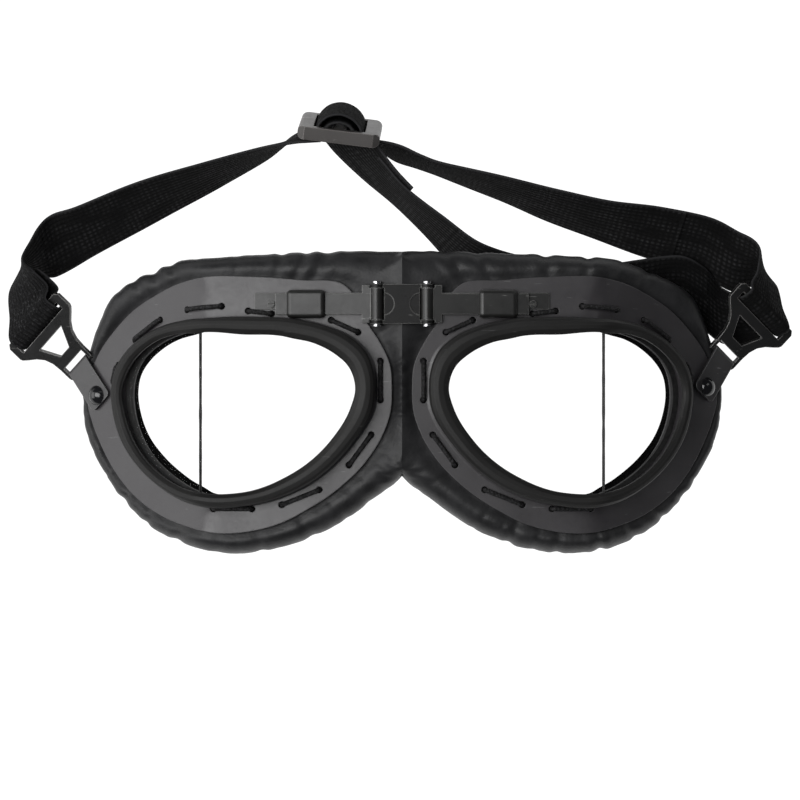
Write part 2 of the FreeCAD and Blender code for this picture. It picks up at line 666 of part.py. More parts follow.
def build_link(side, level, turn):
    """Sheet folded round the strap plate's end bar, its two leaves riveted over the flange."""
    word = WORD[side]
    outward, bar, normal = link_axes(side, turn)
    place = frame_of(rivet_spot(side, level), outward, normal)
    tall = "dims.leaf_inner + dims.leaf_thick"
    fold = rod("fold_" + word, tall, "dims.link_width",
               ("dims.link_length", "-dims.link_width / 2", "0"), Vector(0, 1, 0))
    run = box("run_" + word, "dims.link_length", "dims.link_width", "2 * (" + tall + ")",
              ("0", "-dims.link_width / 2", "-(" + tall + ")"))
    inner_half = "dims.link_width / 2 - dims.link_corner"
    tip = [box("tip_" + word, "dims.link_tip", "2 * (" + inner_half + ")", "2 * (" + tall + ")",
               ("-dims.link_tip", "-(" + inner_half + ")", "-(" + tall + ")")),
           box("shoulder_" + word, "dims.link_tip - dims.link_corner", "dims.link_width",
               "2 * (" + tall + ")", ("-dims.link_tip + dims.link_corner",
                                      "-dims.link_width / 2", "-(" + tall + ")"))]
    for sign in (-1, 1):
        tip.append(rod("corner_%s_%d" % (word, sign + 1), "dims.link_corner",
                       "2 * (" + tall + ")",
                       ("-dims.link_tip + dims.link_corner",
                        "%d * (" % sign + inner_half + ")", "-(" + tall + ")")))
    hollow = rod("hollow_" + word, "dims.leaf_inner", "dims.link_width + 2",
                 ("dims.link_length", "-dims.link_width / 2 - 1", "0"), Vector(0, 1, 0))
    space = box("space_" + word, "dims.link_length + 10", "dims.link_width + 2",
                "2 * dims.leaf_inner", ("-10", "-dims.link_width / 2 - 1", "-dims.leaf_inner"))
    hole = rod("link_hole_" + word, "dims.rivet_shank + dims.running_fit", "8", ("0", "0", "-4"))
    blank = joined("link_blank_" + word, [fold, run] + tip)
    finish_node(cut_away("link_whole_" + word, blank, [hollow, space, hole]),
                "side_link_" + word, place)

    top = dim("leaf_inner") + dim("leaf_thick") + 0.08
    shank = rod("rivet_shank_" + word, "dims.rivet_shank", str(2 * top + 0.5),
                ("0", "0", str(-top - 0.5)))
    ball = doc.addObject("Part::Sphere", "rivet_ball_" + word)
    cap = (dim("dome_radius") ** 2 + dim("dome_height") ** 2) / (2 * dim("dome_height"))
    ball.setExpression("Radius", "(dims.dome_radius ^ 2 + dims.dome_height ^ 2)"
                                 " / (2 * dims.dome_height)")
    ball.Placement = Placement(Vector(0, 0, top + dim("dome_height") - cap), Rotation())
    reach_box = box("rivet_box_" + word, "8", "8", "4", ("-4", "-4", str(top)))
    dome = doc.addObject("Part::Common", "rivet_dome_" + word)
    dome.Base, dome.Tool = ball, reach_box
    finish_node(joined("rivet_whole_" + word, [shank, dome]), "dome_rivet_" + word, place)

    washer = rod("washer_disc_" + word, "dims.washer_radius", "0.5", ("0", "0", str(-top - 0.5)))
    bore = rod("washer_bore_" + word, "dims.rivet_shank + 0.01", "2", ("0", "0", str(-top - 1)))
    finish_node(cut_away("washer_whole_" + word, washer, [bore]), "rivet_washer_" + word, place)

    origin = place.multVec(Vector(dim("link_length"), 0, 0))
    out, up = buckle_axes(side, turn)
    build_buckle(side, frame_of(origin, out, up))
    return origin, out, up


def build_buckle(side, place):
    """Strap plate: end bar, small slot, lightening window, wide strap slot."""
    name = "strap_plate_" + WORD[side]
    long = dim("buckle_length")
    body, sketch = body_with_sketch(name)
    edge = [(0, 5.7), (4.0, 5.7), (7.0, 6.0), (9.6, 7.0), (11.7, 8.8), (13.5, 11.2), (14.7, 12.6),
            (15.5, 13.0), (long - 1.2, 13.0), (long, 11.9)]
    draw_loop(sketch, edge + [(x, -y) for x, y in reversed(edge)])
    draw_loop(sketch, [(0.2, 4.55), (3.5, 4.55), (3.5, -4.55), (0.2, -4.55)])
    draw_loop(sketch, [(6.8, 2.3), (13.0, 5.8), (13.0, -5.8), (6.8, -2.3)])
    draw_loop(sketch, [(16.2, 10.5), (18.8, 10.5), (18.8, -10.5), (16.2, -10.5)])
    padded(body, sketch, "dims.buckle_thick")
    bar = body.newObject("PartDesign::AdditiveCylinder", name + "_bar")
    bind(bar, Radius="dims.bar_radius")
    bar.Height = 11.2
    bar.Placement = Placement(Vector(0, -5.6, 0), Rotation(Vector(0, 0, 1), Vector(0, 1, 0)))
    body.Tip = bar
    finish_node(body, name, place)


# ---------------------------------------------------------------- strap and adjuster
# Each stretch is a flat ribbon. A station is the ribbon's middle and the direction across its
# width; the ribbon passes smoothly through its stations.


def between_stations(values, steps):
    """Vectors on the smooth curve through the given ones, with steps to each interval."""
    ends = [values[0] * 2 - values[1]] + values + [values[-1] * 2 - values[-2]]
    result = []
    for p0, p1, p2, p3 in zip(ends, ends[1:], ends[2:], ends[3:]):
        for n in range(steps):
            t = n / steps
            result.append(p1 + (p2 - p0) * (t / 2)
                          + (p0 * 2 - p1 * 5 + p2 * 4 - p3) * (t * t / 2)
                          + (p1 * 3 - p0 - p2 * 3 + p3) * (t**3 / 2))
    return result + [values[-1]]


def ribbon_shape(stations, steps=3):
    """A closed ribbon of the strap's width and thickness through the stations."""
    middles = between_stations([Vector(*middle) for middle, _ in stations], steps)
    widths = between_stations([Vector(*across).normalize() for _, across in stations], steps)
    last = len(middles) - 1
    sections = []
    for n, (middle, wide) in enumerate(zip(middles, widths)):
        along = middles[min(n + 1, last)] - middles[max(n - 1, 0)]
        wide = wide.normalize() * (dim("strap_width") / 2)
        thick = wide.cross(along).normalize() * (dim("strap_thick") / 2)
        sections.append([middle - wide - thick, middle + wide - thick,
                         middle + wide + thick, middle - wide + thick])
    triangles = []
    for one, other in zip(sections, sections[1:]):
        for n in range(4):
            a, b, c, d = one[n], one[(n + 1) % 4], other[(n + 1) % 4], other[n]
            triangles += [(a, b, c), (a, c, d)]
    for ring in (sections[0], sections[-1]):
        triangles += [(ring[0], ring[1], ring[2]), (ring[0], ring[2], ring[3])]
    faces = [Part.Face(Part.makePolygon([a, b, c, a])) for a, b, c in triangles]
    shell = Part.makeShell(faces)
    shell.sewShape()
    solid = Part.Solid(shell)
    if solid.Volume < 0:
        solid.reverse()
    return solid


GLIDE_CENTRE = Vector(-18.9, 83.4, 13.3)
GLIDE_YAW, GLIDE_LEAN = -7.0, 15.0


def glide_place():
    """The adjuster stands on its long edge, its top leaning towards the eye cups."""
    yaw, lean = math.radians(GLIDE_YAW), math.radians(GLIDE_LEAN)
    along = Vector(math.cos(yaw), math.sin(yaw), 0)
    rise = Vector(math.sin(yaw) * math.sin(lean), -math.cos(yaw) * math.sin(lean), math.cos(lean))
    return frame_of(GLIDE_CENTRE, along, along.cross(rise) * -1)


def build_glide():
    """Tri-glide adjuster: a frame with a middle bar and a slot on each side of it."""
    body, sketch = body_with_sketch("strap_slider")
    long, tall = dim("glide_length") / 2, dim("glide_height") / 2
    inner, post, side = long - dim("glide_end"), dim("glide_bar") / 2, tall - dim("glide_side")
    cut = dim("glide_corner")
    draw_loop(sketch, [(-long, -tall + cut), (-long + cut, -tall), (long - cut, -tall),
                       (long, -tall + cut), (long, tall - cut), (long - cut, tall),
                       (-long + cut, tall), (-long, tall - cut)])
    for sign in (-1, 1):
        draw_loop(sketch, [(sign * post, -side), (sign * inner, -side),
                           (sign * inner, side), (sign * post, side)])
    padded(body, sketch, "dims.glide_thick")
    doc.recompute()
    frame = body.Tip
    round_off = body.newObject("PartDesign::Fillet", "slider_round")
    round_off.Base = (frame, ["Edge%d" % n for n, edge in enumerate(frame.Shape.Edges, start=1)
                              if all(abs(abs(v.Point.x) - long) < 1e-6 for v in edge.Vertexes)
                              and edge.Length > 2 * side])
    bind(round_off, Radius="dims.glide_round")
    body.Tip = round_off
    doc.recompute()
    finish_node(body, "strap_slider", glide_place())


def strap_stations(ends):
    """The four stretches of the strap, from the places of the two strap plates' slots."""
    (left_bar, left_out, left_up), (right_bar, right_out, right_up) = ends
    left_slot = left_bar + left_out * 20.1
    right_slot = right_bar + right_out * 20.1
    left_wide = left_up.cross(left_out) * -1
    right_wide = right_up.cross(right_out)

    def at(base, out, up, forward, lift):
        return tuple(base + out * forward + up * lift)

    left = [
        (at(left_bar, left_out, left_up, 19.1, 1.6), tuple(left_wide)),
        (at(left_slot, left_out, left_up, 1.9, 1.9), tuple(left_wide)),
        ((-114.8, 30.6, 9.2), (0.66, 0.50, 0.56)),
        ((-116.8, 36.8, 10.1), (0.48, 0.30, 0.82)),
        ((-116.8, 42.2, 10.5), (0.10, 0.16, 0.98)),
        ((-113.4, 45.4, 9.9), (-0.10, 0.52, 0.80)),
        ((-107.0, 48.2, 6.4), (-0.16, 0.86, 0.45)),
        ((-97.6, 52.6, 7.4), (-0.26, 0.74, 0.66)),
        ((-80.5, 60.6, 8.4), (-0.26, 0.59, 0.77)),
        ((-57.5, 70.1, 9.8), (-0.13, 0.33, 0.935)),
        ((-42.6, 76.2, 10.4), (-0.05, 0.10, 0.985)),
        ((-33.6, 80.9, 11.6), (0.03, -0.20, 0.97)),
    ]
    front = [
        ((-5.4, 79.2, 11.4), (0.03, -0.18, 0.97)),
        ((2.0, 75.8, 10.4), (0.03, 0.02, 1.0)),
        ((12.6, 71.6, 10.3), (0.04, 0.14, 0.99)),
        ((30.1, 65.9, 10.0), (0.09, 0.276, 0.957)),
        ((46.4, 60.4, 9.3), (0.14, 0.43, 0.89)),
        ((62.1, 55.9, 8.6), (0.15, 0.565, 0.81)),
        ((77.7, 52.2, 7.6), (0.20, 0.755, 0.625)),
        ((92.0, 48.8, 7.6), (0.20, 0.80, 0.56)),
        ((102.6, 46.6, 9.0), (0.06, 0.62, 0.78)),
        ((109.4, 43.8, 10.4), (-0.14, 0.20, 0.97)),
        ((112.6, 38.6, 10.6), (-0.36, 0.22, 0.90)),
        ((113.4, 32.8, 9.6), (-0.55, 0.42, 0.72)),
        (at(right_slot, right_out, right_up, 1.9, 1.9), tuple(right_wide)),
        (at(right_bar, right_out, right_up, 19.1, 1.6), tuple(right_wide)),
    ]
    back = [
        (at(right_bar, right_out, right_up, 19.4, -1.6), tuple(right_wide)),
        (at(right_bar, right_out, right_up, 17.0, -2.6), tuple(right_wide)),
        ((103.6, 28.6, 2.9), (-0.48, 0.87, 0.14)),
        ((98.6, 31.6, 2.3), (-0.12, 0.98, 0.16)),
        ((92.8, 34.6, 4.2), (0.0, 0.91, 0.41)),
        ((86.6, 36.2, 5.2), (0.0, 0.86, 0.51)),
        ((80.0, 36.2, 5.3), (0.0, 0.86, 0.51)),
        ((72.0, 34.7, 4.8), (0.0, 0.90, 0.43)),
        ((64.0, 33.2, 3.4), (0.0, 0.96, 0.28)),
        ((52.0, 33.0, 1.4), (0.02, 1.0, 0.04)),
        ((39.0, 35.2, 1.0), (0.36, 0.93, 0.0)),
        ((28.5, 38.8, 5.8), (0.52, 0.68, 0.50)),
        ((19.5, 45.2, 9.4), (0.38, 0.37, 0.85)),
        ((9.8, 54.2, 10.0), (0.26, 0.25, 0.93)),
        ((-0.6, 63.2, 10.3), (0.20, 0.18, 0.96)),
        ((-8.4, 70.2, 10.3), (0.24, 0.18, 0.95)),
    ]
    place = glide_place()

    def through(along, out):
        return tuple(place.multVec(Vector(along, 0, out)))

    rise = tuple(place.Rotation.multVec(Vector(0, 1, 0)))
    dome = [(through(along, out), rise) for along, out in
            ((-8.6, -4.6), (-7.2, -2.4), (-6.9, 0.4), (-6.2, 3.0), (-3.8, 5.4), (-0.2, 6.4),
             (3.6, 5.4), (6.2, 3.0), (6.9, 0.4), (7.2, -2.4), (8.6, -4.6))]
    return {"strap_left": left, "strap_right_front": front, "strap_right_back": back,
            "strap_through_slider": dome}


def pad_seam_shape():
    """Leather gusset that joins the two pads over the nose."""
    profile = [(-0.15, -20.0, 16.5), (-0.15, 22.0, 18.5), (-0.15, 22.0, 33.5), (-0.15, -18.0, 32.5)]
    face = Part.Face(Part.makePolygon([Vector(*p) for p in profile + profile[:1]]))
    return face.extrude(Vector(0.3, 0, 0))


# ---------------------------------------------------------------- assembly


def build_cup(side, level):
    """Everything that is fixed to one eye cup."""
    word = WORD[side]
    computed("eye_frame_" + word, frame_shape(side, level))
    computed("lens_bezel_" + word, bezel_shape(side))
    computed("lens_gasket_" + word, gasket_shape(side))
    computed("lens_front_" + word, pane_shape(side, False))
    computed("lens_side_" + word, pane_shape(side, True))
    computed("pad_cover_" + word, cover_shape(side))
    computed("pad_foam_" + word, foam_shape(side))
    computed("pad_lacing_" + word, lacing_shape(side))
    build_tongue(side)


build_bridge()
build_cup(-1, dim("rivet_left_level"))
build_cup(1, dim("rivet_right_level"))
ends = [build_link(-1, dim("rivet_left_level"), dim("left_link_turn")),
        build_link(1, dim("rivet_right_level"), dim("right_link_turn"))]
build_glide()
for label, stations in strap_stations(ends).items():
    computed(label, ribbon_shape(stations))
computed("nose_gusset", pad_seam_shape())

doc.recompute()
for obj in doc.Objects:
    if "Invalid" in obj.State or "Error" in obj.State:
        raise RuntimeError("%s failed: %s" % (obj.Label, obj.State))
os.makedirs("parts", exist_ok=True)
for obj in NODES:
    if obj.Shape.isNull() or not obj.Shape.isValid() or obj.Shape.Volume <= 0:
        raise RuntimeError("%s has no valid solid" % obj.Label)
    obj.Shape.exportStep(os.path.join("parts", obj.Label + ".step"))
print(len(NODES), "sub-parts written")
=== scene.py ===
import math

import bpy
import numpy as np
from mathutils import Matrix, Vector, noise


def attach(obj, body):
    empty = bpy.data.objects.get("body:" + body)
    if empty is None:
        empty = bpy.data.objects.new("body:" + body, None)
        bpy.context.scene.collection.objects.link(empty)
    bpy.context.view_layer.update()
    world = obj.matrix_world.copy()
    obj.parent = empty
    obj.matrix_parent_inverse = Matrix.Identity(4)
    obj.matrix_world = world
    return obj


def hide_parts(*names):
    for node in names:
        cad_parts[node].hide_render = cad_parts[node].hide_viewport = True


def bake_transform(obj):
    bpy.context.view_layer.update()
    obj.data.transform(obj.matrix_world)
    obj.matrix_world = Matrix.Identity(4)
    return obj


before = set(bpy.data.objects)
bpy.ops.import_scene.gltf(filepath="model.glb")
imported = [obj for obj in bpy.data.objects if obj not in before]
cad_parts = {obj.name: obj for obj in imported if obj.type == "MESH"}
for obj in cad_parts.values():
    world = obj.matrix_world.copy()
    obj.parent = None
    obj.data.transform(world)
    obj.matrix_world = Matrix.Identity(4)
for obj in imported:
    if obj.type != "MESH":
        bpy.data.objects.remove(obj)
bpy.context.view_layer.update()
MM = 0.001
SIDES = {"left": -1, "right": 1}


# ---------------------------------------------------------------- materials

class Look:
    """A Principled material with procedural layers of colour, roughness and relief."""

    def __init__(self, name, colour, roughness, metallic=0.0, **constants):
        self.material = bpy.data.materials.new(name)
        self.material.use_nodes = True
        self.tree = self.material.node_tree
        self.surface = self.tree.nodes["Principled BSDF"]
        self.surface.inputs["Base Color"].default_value = (*colour, 1)
        self.surface.inputs["Roughness"].default_value = roughness
        self.surface.inputs["Metallic"].default_value = metallic
        for key, value in constants.items():
            self.surface.inputs[key.replace("_", " ")].default_value = value
        self.relief = None

    def node(self, kind, links=(), **values):
        made = self.tree.nodes.new(kind)
        for key, value in values.items():
            key = key.replace("_", " ")
            if key in made.inputs:
                made.inputs[key].default_value = value
            else:
                setattr(made, key.replace(" ", "_"), value)
        for socket, source in dict(links).items():
            self.tree.links.new(source, made.inputs[socket])
        return made

    def place(self, kind="Object", stretch=(1, 1, 1), turn=0.0):
        """Texture coordinates in metres, stretched and turned about Z."""
        source = self.node("ShaderNodeTexCoord").outputs[kind]
        return self.node("ShaderNodeMapping", {"Vector": source}, Scale=stretch,
                         Rotation=(0, 0, turn)).outputs["Vector"]

    def noise(self, place, scale, detail=3.0, rough=0.5):
        return self.node("ShaderNodeTexNoise", {"Vector": place}, Scale=scale, Detail=detail,
                         Roughness=rough).outputs["Fac"]

    def cells(self, place, scale, feature="F1"):
        return self.node("ShaderNodeTexVoronoi", {"Vector": place}, Scale=scale,
                         feature=feature).outputs["Distance"]

    def ramp(self, value, low, high, start=0.0, end=1.0):
        """value's range low to high taken to start to end, clamped."""
        made = self.node("ShaderNodeMapRange", {"Value": value})
        limits = {"From Min": low, "From Max": high, "To Min": start, "To Max": end}
        for key, number in limits.items():
            made.inputs[key].default_value = number
        return made.outputs["Result"]

    def math(self, operation, a, b):
        made = self.node("ShaderNodeMath", operation=operation)
        for n, value in enumerate((a, b)):
            if isinstance(value, (int, float)):
                made.inputs[n].default_value = value
            else:
                self.tree.links.new(value, made.inputs[n])
        return made.outputs["Value"]

    def tint(self, share, one, other):
        """Colour that goes from one to other by share."""
        made = self.node("ShaderNodeMix", data_type="RGBA")
        self.tree.links.new(share, made.inputs["Factor"])
        for n, colour in ((6, one), (7, other)):
            if isinstance(colour, tuple):
                made.inputs[n].default_value = (*colour, 1)
            else:
                self.tree.links.new(colour, made.inputs[n])
        return made.outputs[2]

    def set(self, socket, source):
        self.tree.links.new(source, self.surface.inputs[socket])

    def bump(self, height, distance, strength=1.0):
        made = self.node("ShaderNodeBump", {"Height": height}, Strength=strength,
                         Distance=distance)
        if self.relief:
            self.tree.links.new(self.relief, made.inputs["Normal"])
        self.relief = made.outputs["Normal"]
        self.tree.links.new(self.relief, self.surface.inputs["Normal"])

    def edge_wear_and_highlight(self, radius):
        """How much the surface turns within radius: 0 on flats, towards 1 on edges."""
        bevel = self.node("ShaderNodeBevel", samples=4, Radius=radius).outputs["Normal"]
        self.relief = self.relief or bevel
        flat = self.node("ShaderNodeNewGeometry").outputs["Normal"]
        made = self.node("ShaderNodeVectorMath", operation="DOT_PRODUCT")
        self.tree.links.new(bevel, made.inputs[0])
        self.tree.links.new(flat, made.inputs[1])
        return self.ramp(made.outputs["Value"], 0.995, 0.90)


def paint(name, colour, roughness, edge, edge_share, grain=0.5, **constants):
    """Satin paint over metal: orange peel, dull patches, edges painted lighter as rubbed paint and
    a painted edge highlight, hair scratches.
    """
    look = Look(name, colour, roughness, **constants)
    place = look.place()
    patches = look.noise(place, 60, 4)
    speck = look.noise(place, 900, 2)
    streak = look.noise(look.place(stretch=(1, 9, 1), turn=0.5), 160, 3)
    # edges painted lighter: partly rubbed paint, partly a painted highlight standing in for light
    # caught on the edge radius
    rub_and_highlight = look.math("MULTIPLY", look.edge_wear_and_highlight(0.0004),
                    look.ramp(patches, 0.30, 0.62, 0.25, edge_share))
    hair = look.ramp(streak, 0.70, 0.73, 0.0, 0.35)
    shade = look.tint(look.ramp(patches, 0.3, 0.7), tuple(c * 0.86 for c in colour),
                      tuple(c * 1.14 for c in colour))
    look.set("Base Color", look.tint(look.math("MAXIMUM", rub_and_highlight, hair), shade, edge))
    look.set("Roughness", look.math("ADD", look.ramp(patches, 0.3, 0.7, -0.05, 0.06),
                                    look.ramp(speck, 0.3, 0.7, roughness - 0.03, roughness + 0.03)))
    look.bump(speck, 0.00003 * grain, 0.5)
    look.bump(patches, 0.0002 * grain, 0.3)
    return look.material


def make_leather():
    """Soft black imitation leather: fine pebble, creases and broad folds."""
    look = Look("leather", (0.012, 0.012, 0.0125), 0.42, Specular_IOR_Level=0.28)
    place = look.place()
    pebble = look.cells(place, 1300, "SMOOTH_F1")
    creases = look.noise(place, 170, 5, 0.6)
    folds = look.noise(look.place(stretch=(1, 1, 0.6)), 70, 3)
    look.set("Base Color", look.tint(look.ramp(creases, 0.35, 0.7), (0.010, 0.010, 0.0105),
                                     (0.018, 0.018, 0.019)))
    look.set("Roughness", look.ramp(creases, 0.3, 0.7, 0.42, 0.56))
    look.bump(folds, 0.0012, 0.3)
    look.bump(creases, 0.0004, 0.35)
    look.bump(pebble, 0.00008, 0.5)
    return look.material


def make_fleece():
    """Fuzzy black lining on the inner wall of the pads."""
    look = Look("fleece", (0.002, 0.002, 0.002), 1.0, Specular_IOR_Level=0.0)
    place = look.place()
    tufts = look.noise(place, 1400, 6, 0.7)
    look.set("Base Color", look.tint(look.ramp(tufts, 0.4, 0.7), (0.001, 0.001, 0.001),
                                     (0.006, 0.006, 0.006)))
    look.bump(tufts, 0.0006, 0.9)
    return look.material


def make_webbing():
    """Elastic webbing: lengthwise ribs crossed by short weft stitches, paler selvedges."""
    look = Look("webbing", (0.004, 0.004, 0.004), 0.85, Specular_IOR_Level=0.12)
    place = look.place("UV")
    weft = look.node("ShaderNodeTexWave", {"Vector": place}, wave_type="BANDS",
                     bands_direction="X", Scale=190, Distortion=2.0, Detail=2.0,
                     Detail_Scale=2.5).outputs["Fac"]
    warp = look.node("ShaderNodeTexWave", {"Vector": place}, wave_type="BANDS",
                     bands_direction="Y", Scale=224, Distortion=0.8, Detail=2.0,
                     Detail_Scale=3.0).outputs["Fac"]
    fluff = look.noise(place, 1500, 5, 0.75)
    missed = look.noise(look.place("UV", stretch=(1, 2.5, 1)), 90, 3)
    across = look.node("ShaderNodeSeparateXYZ", {"Vector": place}).outputs["Y"]
    edge = look.ramp(look.math("ABSOLUTE", across, 0), 0.0093, 0.0098)
    threads = look.math("MULTIPLY", weft, warp)
    shown = look.math("MULTIPLY", look.math("MULTIPLY", threads, look.ramp(fluff, 0.35, 0.75)),
                      look.ramp(missed, 0.42, 0.62))
    cloth = look.tint(shown, (0.0022, 0.0022, 0.0023), (0.050, 0.050, 0.052))
    look.set("Base Color", look.tint(edge, cloth, (0.022, 0.022, 0.023)))
    look.bump(fluff, 0.0003, 0.5)
    look.bump(threads, 0.0002, 0.5)
    return look.material


def make_velour():
    """Looped outer face of the strap by the left plate: black pile with pale flecks."""
    look = Look("velour", (0.006, 0.006, 0.006), 0.9, Specular_IOR_Level=0.2)
    place = look.place()
    pile = look.noise(place, 1100, 5, 0.8)
    clumps = look.noise(place, 260, 3)
    flecks = look.math("MULTIPLY", look.ramp(pile, 0.52, 0.72),
                       look.ramp(clumps, 0.3, 0.7, 0.3, 1.0))
    look.set("Base Color", look.tint(flecks, (0.0035, 0.0035, 0.0037), (0.075, 0.075, 0.078)))
    look.bump(clumps, 0.0012, 0.5)
    look.bump(pile, 0.0007, 1.0)
    return look.material


def make_lace():
    """Braided lace, waxed and slightly frayed."""
    look = Look("lace", (0.006, 0.006, 0.006), 0.75, Specular_IOR_Level=0.3)
    place = look.place()
    braid = look.cells(place, 1500)
    fray = look.noise(place, 2400, 4, 0.7)
    look.set("Base Color", look.tint(look.ramp(braid, 0.1, 0.6), (0.022, 0.021, 0.023),
                                     (0.003, 0.003, 0.003)))
    look.bump(braid, 0.0003, 0.9)
    look.bump(fray, 0.0001, 0.6)
    return look.material


def make_rubber():
    look = Look("rubber", (0.006, 0.006, 0.006), 0.7)
    dust = look.noise(look.place(), 700, 4)
    look.set("Base Color", look.tint(look.ramp(dust, 0.4, 0.75), (0.004, 0.004, 0.004),
                                     (0.014, 0.014, 0.014)))
    look.bump(dust, 0.00008, 0.5)
    return look.material


def make_chrome():
    look = Look("chrome", (0.36, 0.36, 0.37), 0.2, 1.0)
    haze = look.noise(look.place(stretch=(1, 0.1, 1)), 900, 3)
    look.set("Roughness", look.ramp(haze, 0.3, 0.7, 0.12, 0.24))
    look.bump(haze, 0.00001, 0.4)
    return look.material


def make_lens():
    """Clear pane: nearly all light passes, with a faint smear of haze."""
    look = Look("lens", (0.05, 0.05, 0.05), 0.03, Alpha=0.03)
    smear = look.noise(look.place(), 45, 4)
    look.set("Roughness", look.ramp(smear, 0.4, 0.7, 0.03, 0.08))
    look.set("Alpha", look.ramp(smear, 0.4, 0.8, 0.015, 0.03))
    return look.material


# each paint() takes a lighter edge colour and its share: rubbed paint and a painted edge highlight
MATERIALS = {
    "frame_paint": paint("frame_paint", (0.024, 0.022, 0.024), 0.38, (0.16, 0.16, 0.16), 0.25),
    "bezel_paint": paint("bezel_paint", (0.012, 0.0118, 0.0115), 0.46, (0.09, 0.09, 0.09), 0.25,
                         Specular_IOR_Level=0.16),
    "bridge_metal": paint("bridge_metal", (0.010, 0.010, 0.0095), 0.34, (0.30, 0.30, 0.29), 0.75,
                          Specular_IOR_Level=0.36),
    "hub_metal": paint("hub_metal", (0.008, 0.008, 0.008), 0.30, (0.30, 0.30, 0.29), 0.8,
                       Specular_IOR_Level=0.12),
    "plate_paint": paint("plate_paint", (0.010, 0.010, 0.010), 0.30, (0.35, 0.34, 0.33), 0.85),
    "link_metal": paint("link_metal", (0.022, 0.021, 0.022), 0.36, (0.34, 0.34, 0.34), 0.6),
    "slider_metal": paint("slider_metal", (0.034, 0.030, 0.028), 0.42, (0.30, 0.28, 0.27), 0.6),
    "rivet": paint("rivet", (0.006, 0.006, 0.007), 0.12, (0.25, 0.25, 0.25), 0.3, 0.2),
    "chrome": make_chrome(),
    "lens": make_lens(),
    "rubber": make_rubber(),
    "leather": make_leather(),
    "lace": make_lace(),
    "fleece": make_fleece(),
    "webbing": make_webbing(),
    "velour": make_velour(),
}

NODE_LOOKS = {
    "eye_frame": "frame_paint", "lens_bezel": "bezel_paint", "lens_gasket": "rubber",
    "lens_front": "lens", "lens_side": "lens", "pad_lacing": "lace",
    "pad_foam": "fleece", "pad_cover": "leather",
    "bridge_tongue": "bridge_metal", "bridge_base": "bridge_metal", "bridge_plate": "hub_metal",
    "tongue_keeper": "bridge_metal", "tongue_screw": "bridge_metal", "hinge_pin": "chrome",
    "side_link": "link_metal", "dome_rivet": "rivet", "rivet_washer": "chrome",
    "strap_plate": "plate_paint", "strap_slider": "slider_metal", "nose_gusset": "leather",
    "strap": "webbing",
}
for name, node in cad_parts.items():
    kind = max((k for k in NODE_LOOKS if name.startswith(k)), key=len)
    node.data.materials.clear()
    node.data.materials.append(MATERIALS[NODE_LOOKS[kind]])
    for polygon in node.data.polygons:
        polygon.material_index = 0


def mesh_piece(name, points, faces, looks, smooth=True):
    """An object from points in millimetres."""
    mesh = bpy.data.meshes.new(name)
    mesh.from_pydata([tuple(c * MM for c in p) for p in points], [], faces)
    piece = bpy.data.objects.new(name, mesh)
    bpy.context.scene.collection.objects.link(piece)
    for look in looks:
        mesh.materials.append(MATERIALS[look])
    for polygon in mesh.polygons:
        polygon.use_smooth = smooth
    return piece


# ---------------------------------------------------------------- outlines of an eye cup (mm)

LENS_CENTRE = (48.0, -3.5)
BEZEL = [
    (8.1, 4.2), (9.0, -2.7), (14.8, -12.2), (21.9, -19.9), (31.2, -26.1), (39.4, -29.3),
    (48.0, -31.0), (59.6, -31.1), (66.0, -29.4), (73.0, -25.4), (79.4, -19.8), (84.8, -12.2),
    (88.0, -1.2), (88.1, 4.6), (86.6, 10.6), (83.0, 15.8), (77.7, 20.1), (71.8, 22.9),
    (65.5, 24.3), (56.0, 24.9), (44.0, 25.1), (33.2, 24.6), (23.4, 22.6), (16.0, 19.5),
    (11.0, 15.1), (8.7, 9.8),
]
FLANGE = [
    (3.0, 4.2), (3.4, -2.9), (5.8, -9.9), (10.4, -17.3), (18.4, -25.4), (27.9, -31.9),
    (36.2, -36.2), (45.0, -38.6), (55.8, -39.2), (64.9, -37.3), (73.8, -33.8), (82.1, -27.8),
    (88.2, -20.4), (92.3, -13.0), (95.2, -6.0), (96.9, 1.4), (95.6, 8.8), (92.6, 15.4),
    (87.6, 22.0), (81.4, 28.0), (74.6, 32.2), (67.4, 35.5), (58.7, 37.4), (47.1, 37.5),
    (36.9, 37.0), (28.6, 36.3), (18.6, 35.6), (14.4, 32.0), (10.6, 24.0), (6.6, 17.8),
    (3.6, 11.2),
]
PAD = [
    (-4.0, 4.0), (-4.0, -9.0), (-3.6, -17.6), (0.0, -22.4), (3.4, -25.6), (9.6, -30.0),
    (19.9, -37.3), (29.0, -41.6), (38.4, -44.4), (48.0, -45.8), (57.6, -45.3), (66.8, -42.8),
    (75.4, -39.0), (82.6, -33.0), (89.2, -25.0), (94.0, -17.6), (97.4, -9.4), (98.6, 0.8),
    (97.8, 9.8), (95.4, 18.6), (92.0, 27.0), (88.6, 32.4), (81.5, 37.0), (74.6, 40.0),
    (66.8, 42.6), (55.4, 43.8), (44.0, 44.4), (31.0, 44.8), (19.0, 45.2), (8.6, 45.4),
    (0.0, 45.2), (-4.0, 44.6), (-4.0, 38.0), (-4.0, 26.0), (-4.0, 14.0),
]
FRONT_SLOPE, SIDE_SLOPE = math.tan(math.radians(3.0)), math.tan(math.radians(36.0))
NOSE_EDGE, FRONT_HEIGHT, SPLIT_PLACE, SPLIT_ROUND = 8.0, 47.0, 60.9, 3.0
WALL_DEPTH, SHEET_METAL = 7.0, 1.2


def polar(points):
    """An outline as sorted angles and distances from the lens centre, wrapped at both ends."""
    pairs = [(math.atan2(y - LENS_CENTRE[1], x - LENS_CENTRE[0]) % math.tau,
              math.hypot(x - LENS_CENTRE[0], y - LENS_CENTRE[1])) for x, y in points]
    pairs.sort()
    return ([pairs[-2][0] - math.tau, pairs[-1][0] - math.tau] + [a for a, _ in pairs]
            + [pairs[0][0] + math.tau, pairs[1][0] + math.tau],
            [pairs[-2][1], pairs[-1][1]] + [r for _, r in pairs] + [pairs[0][1], pairs[1][1]])


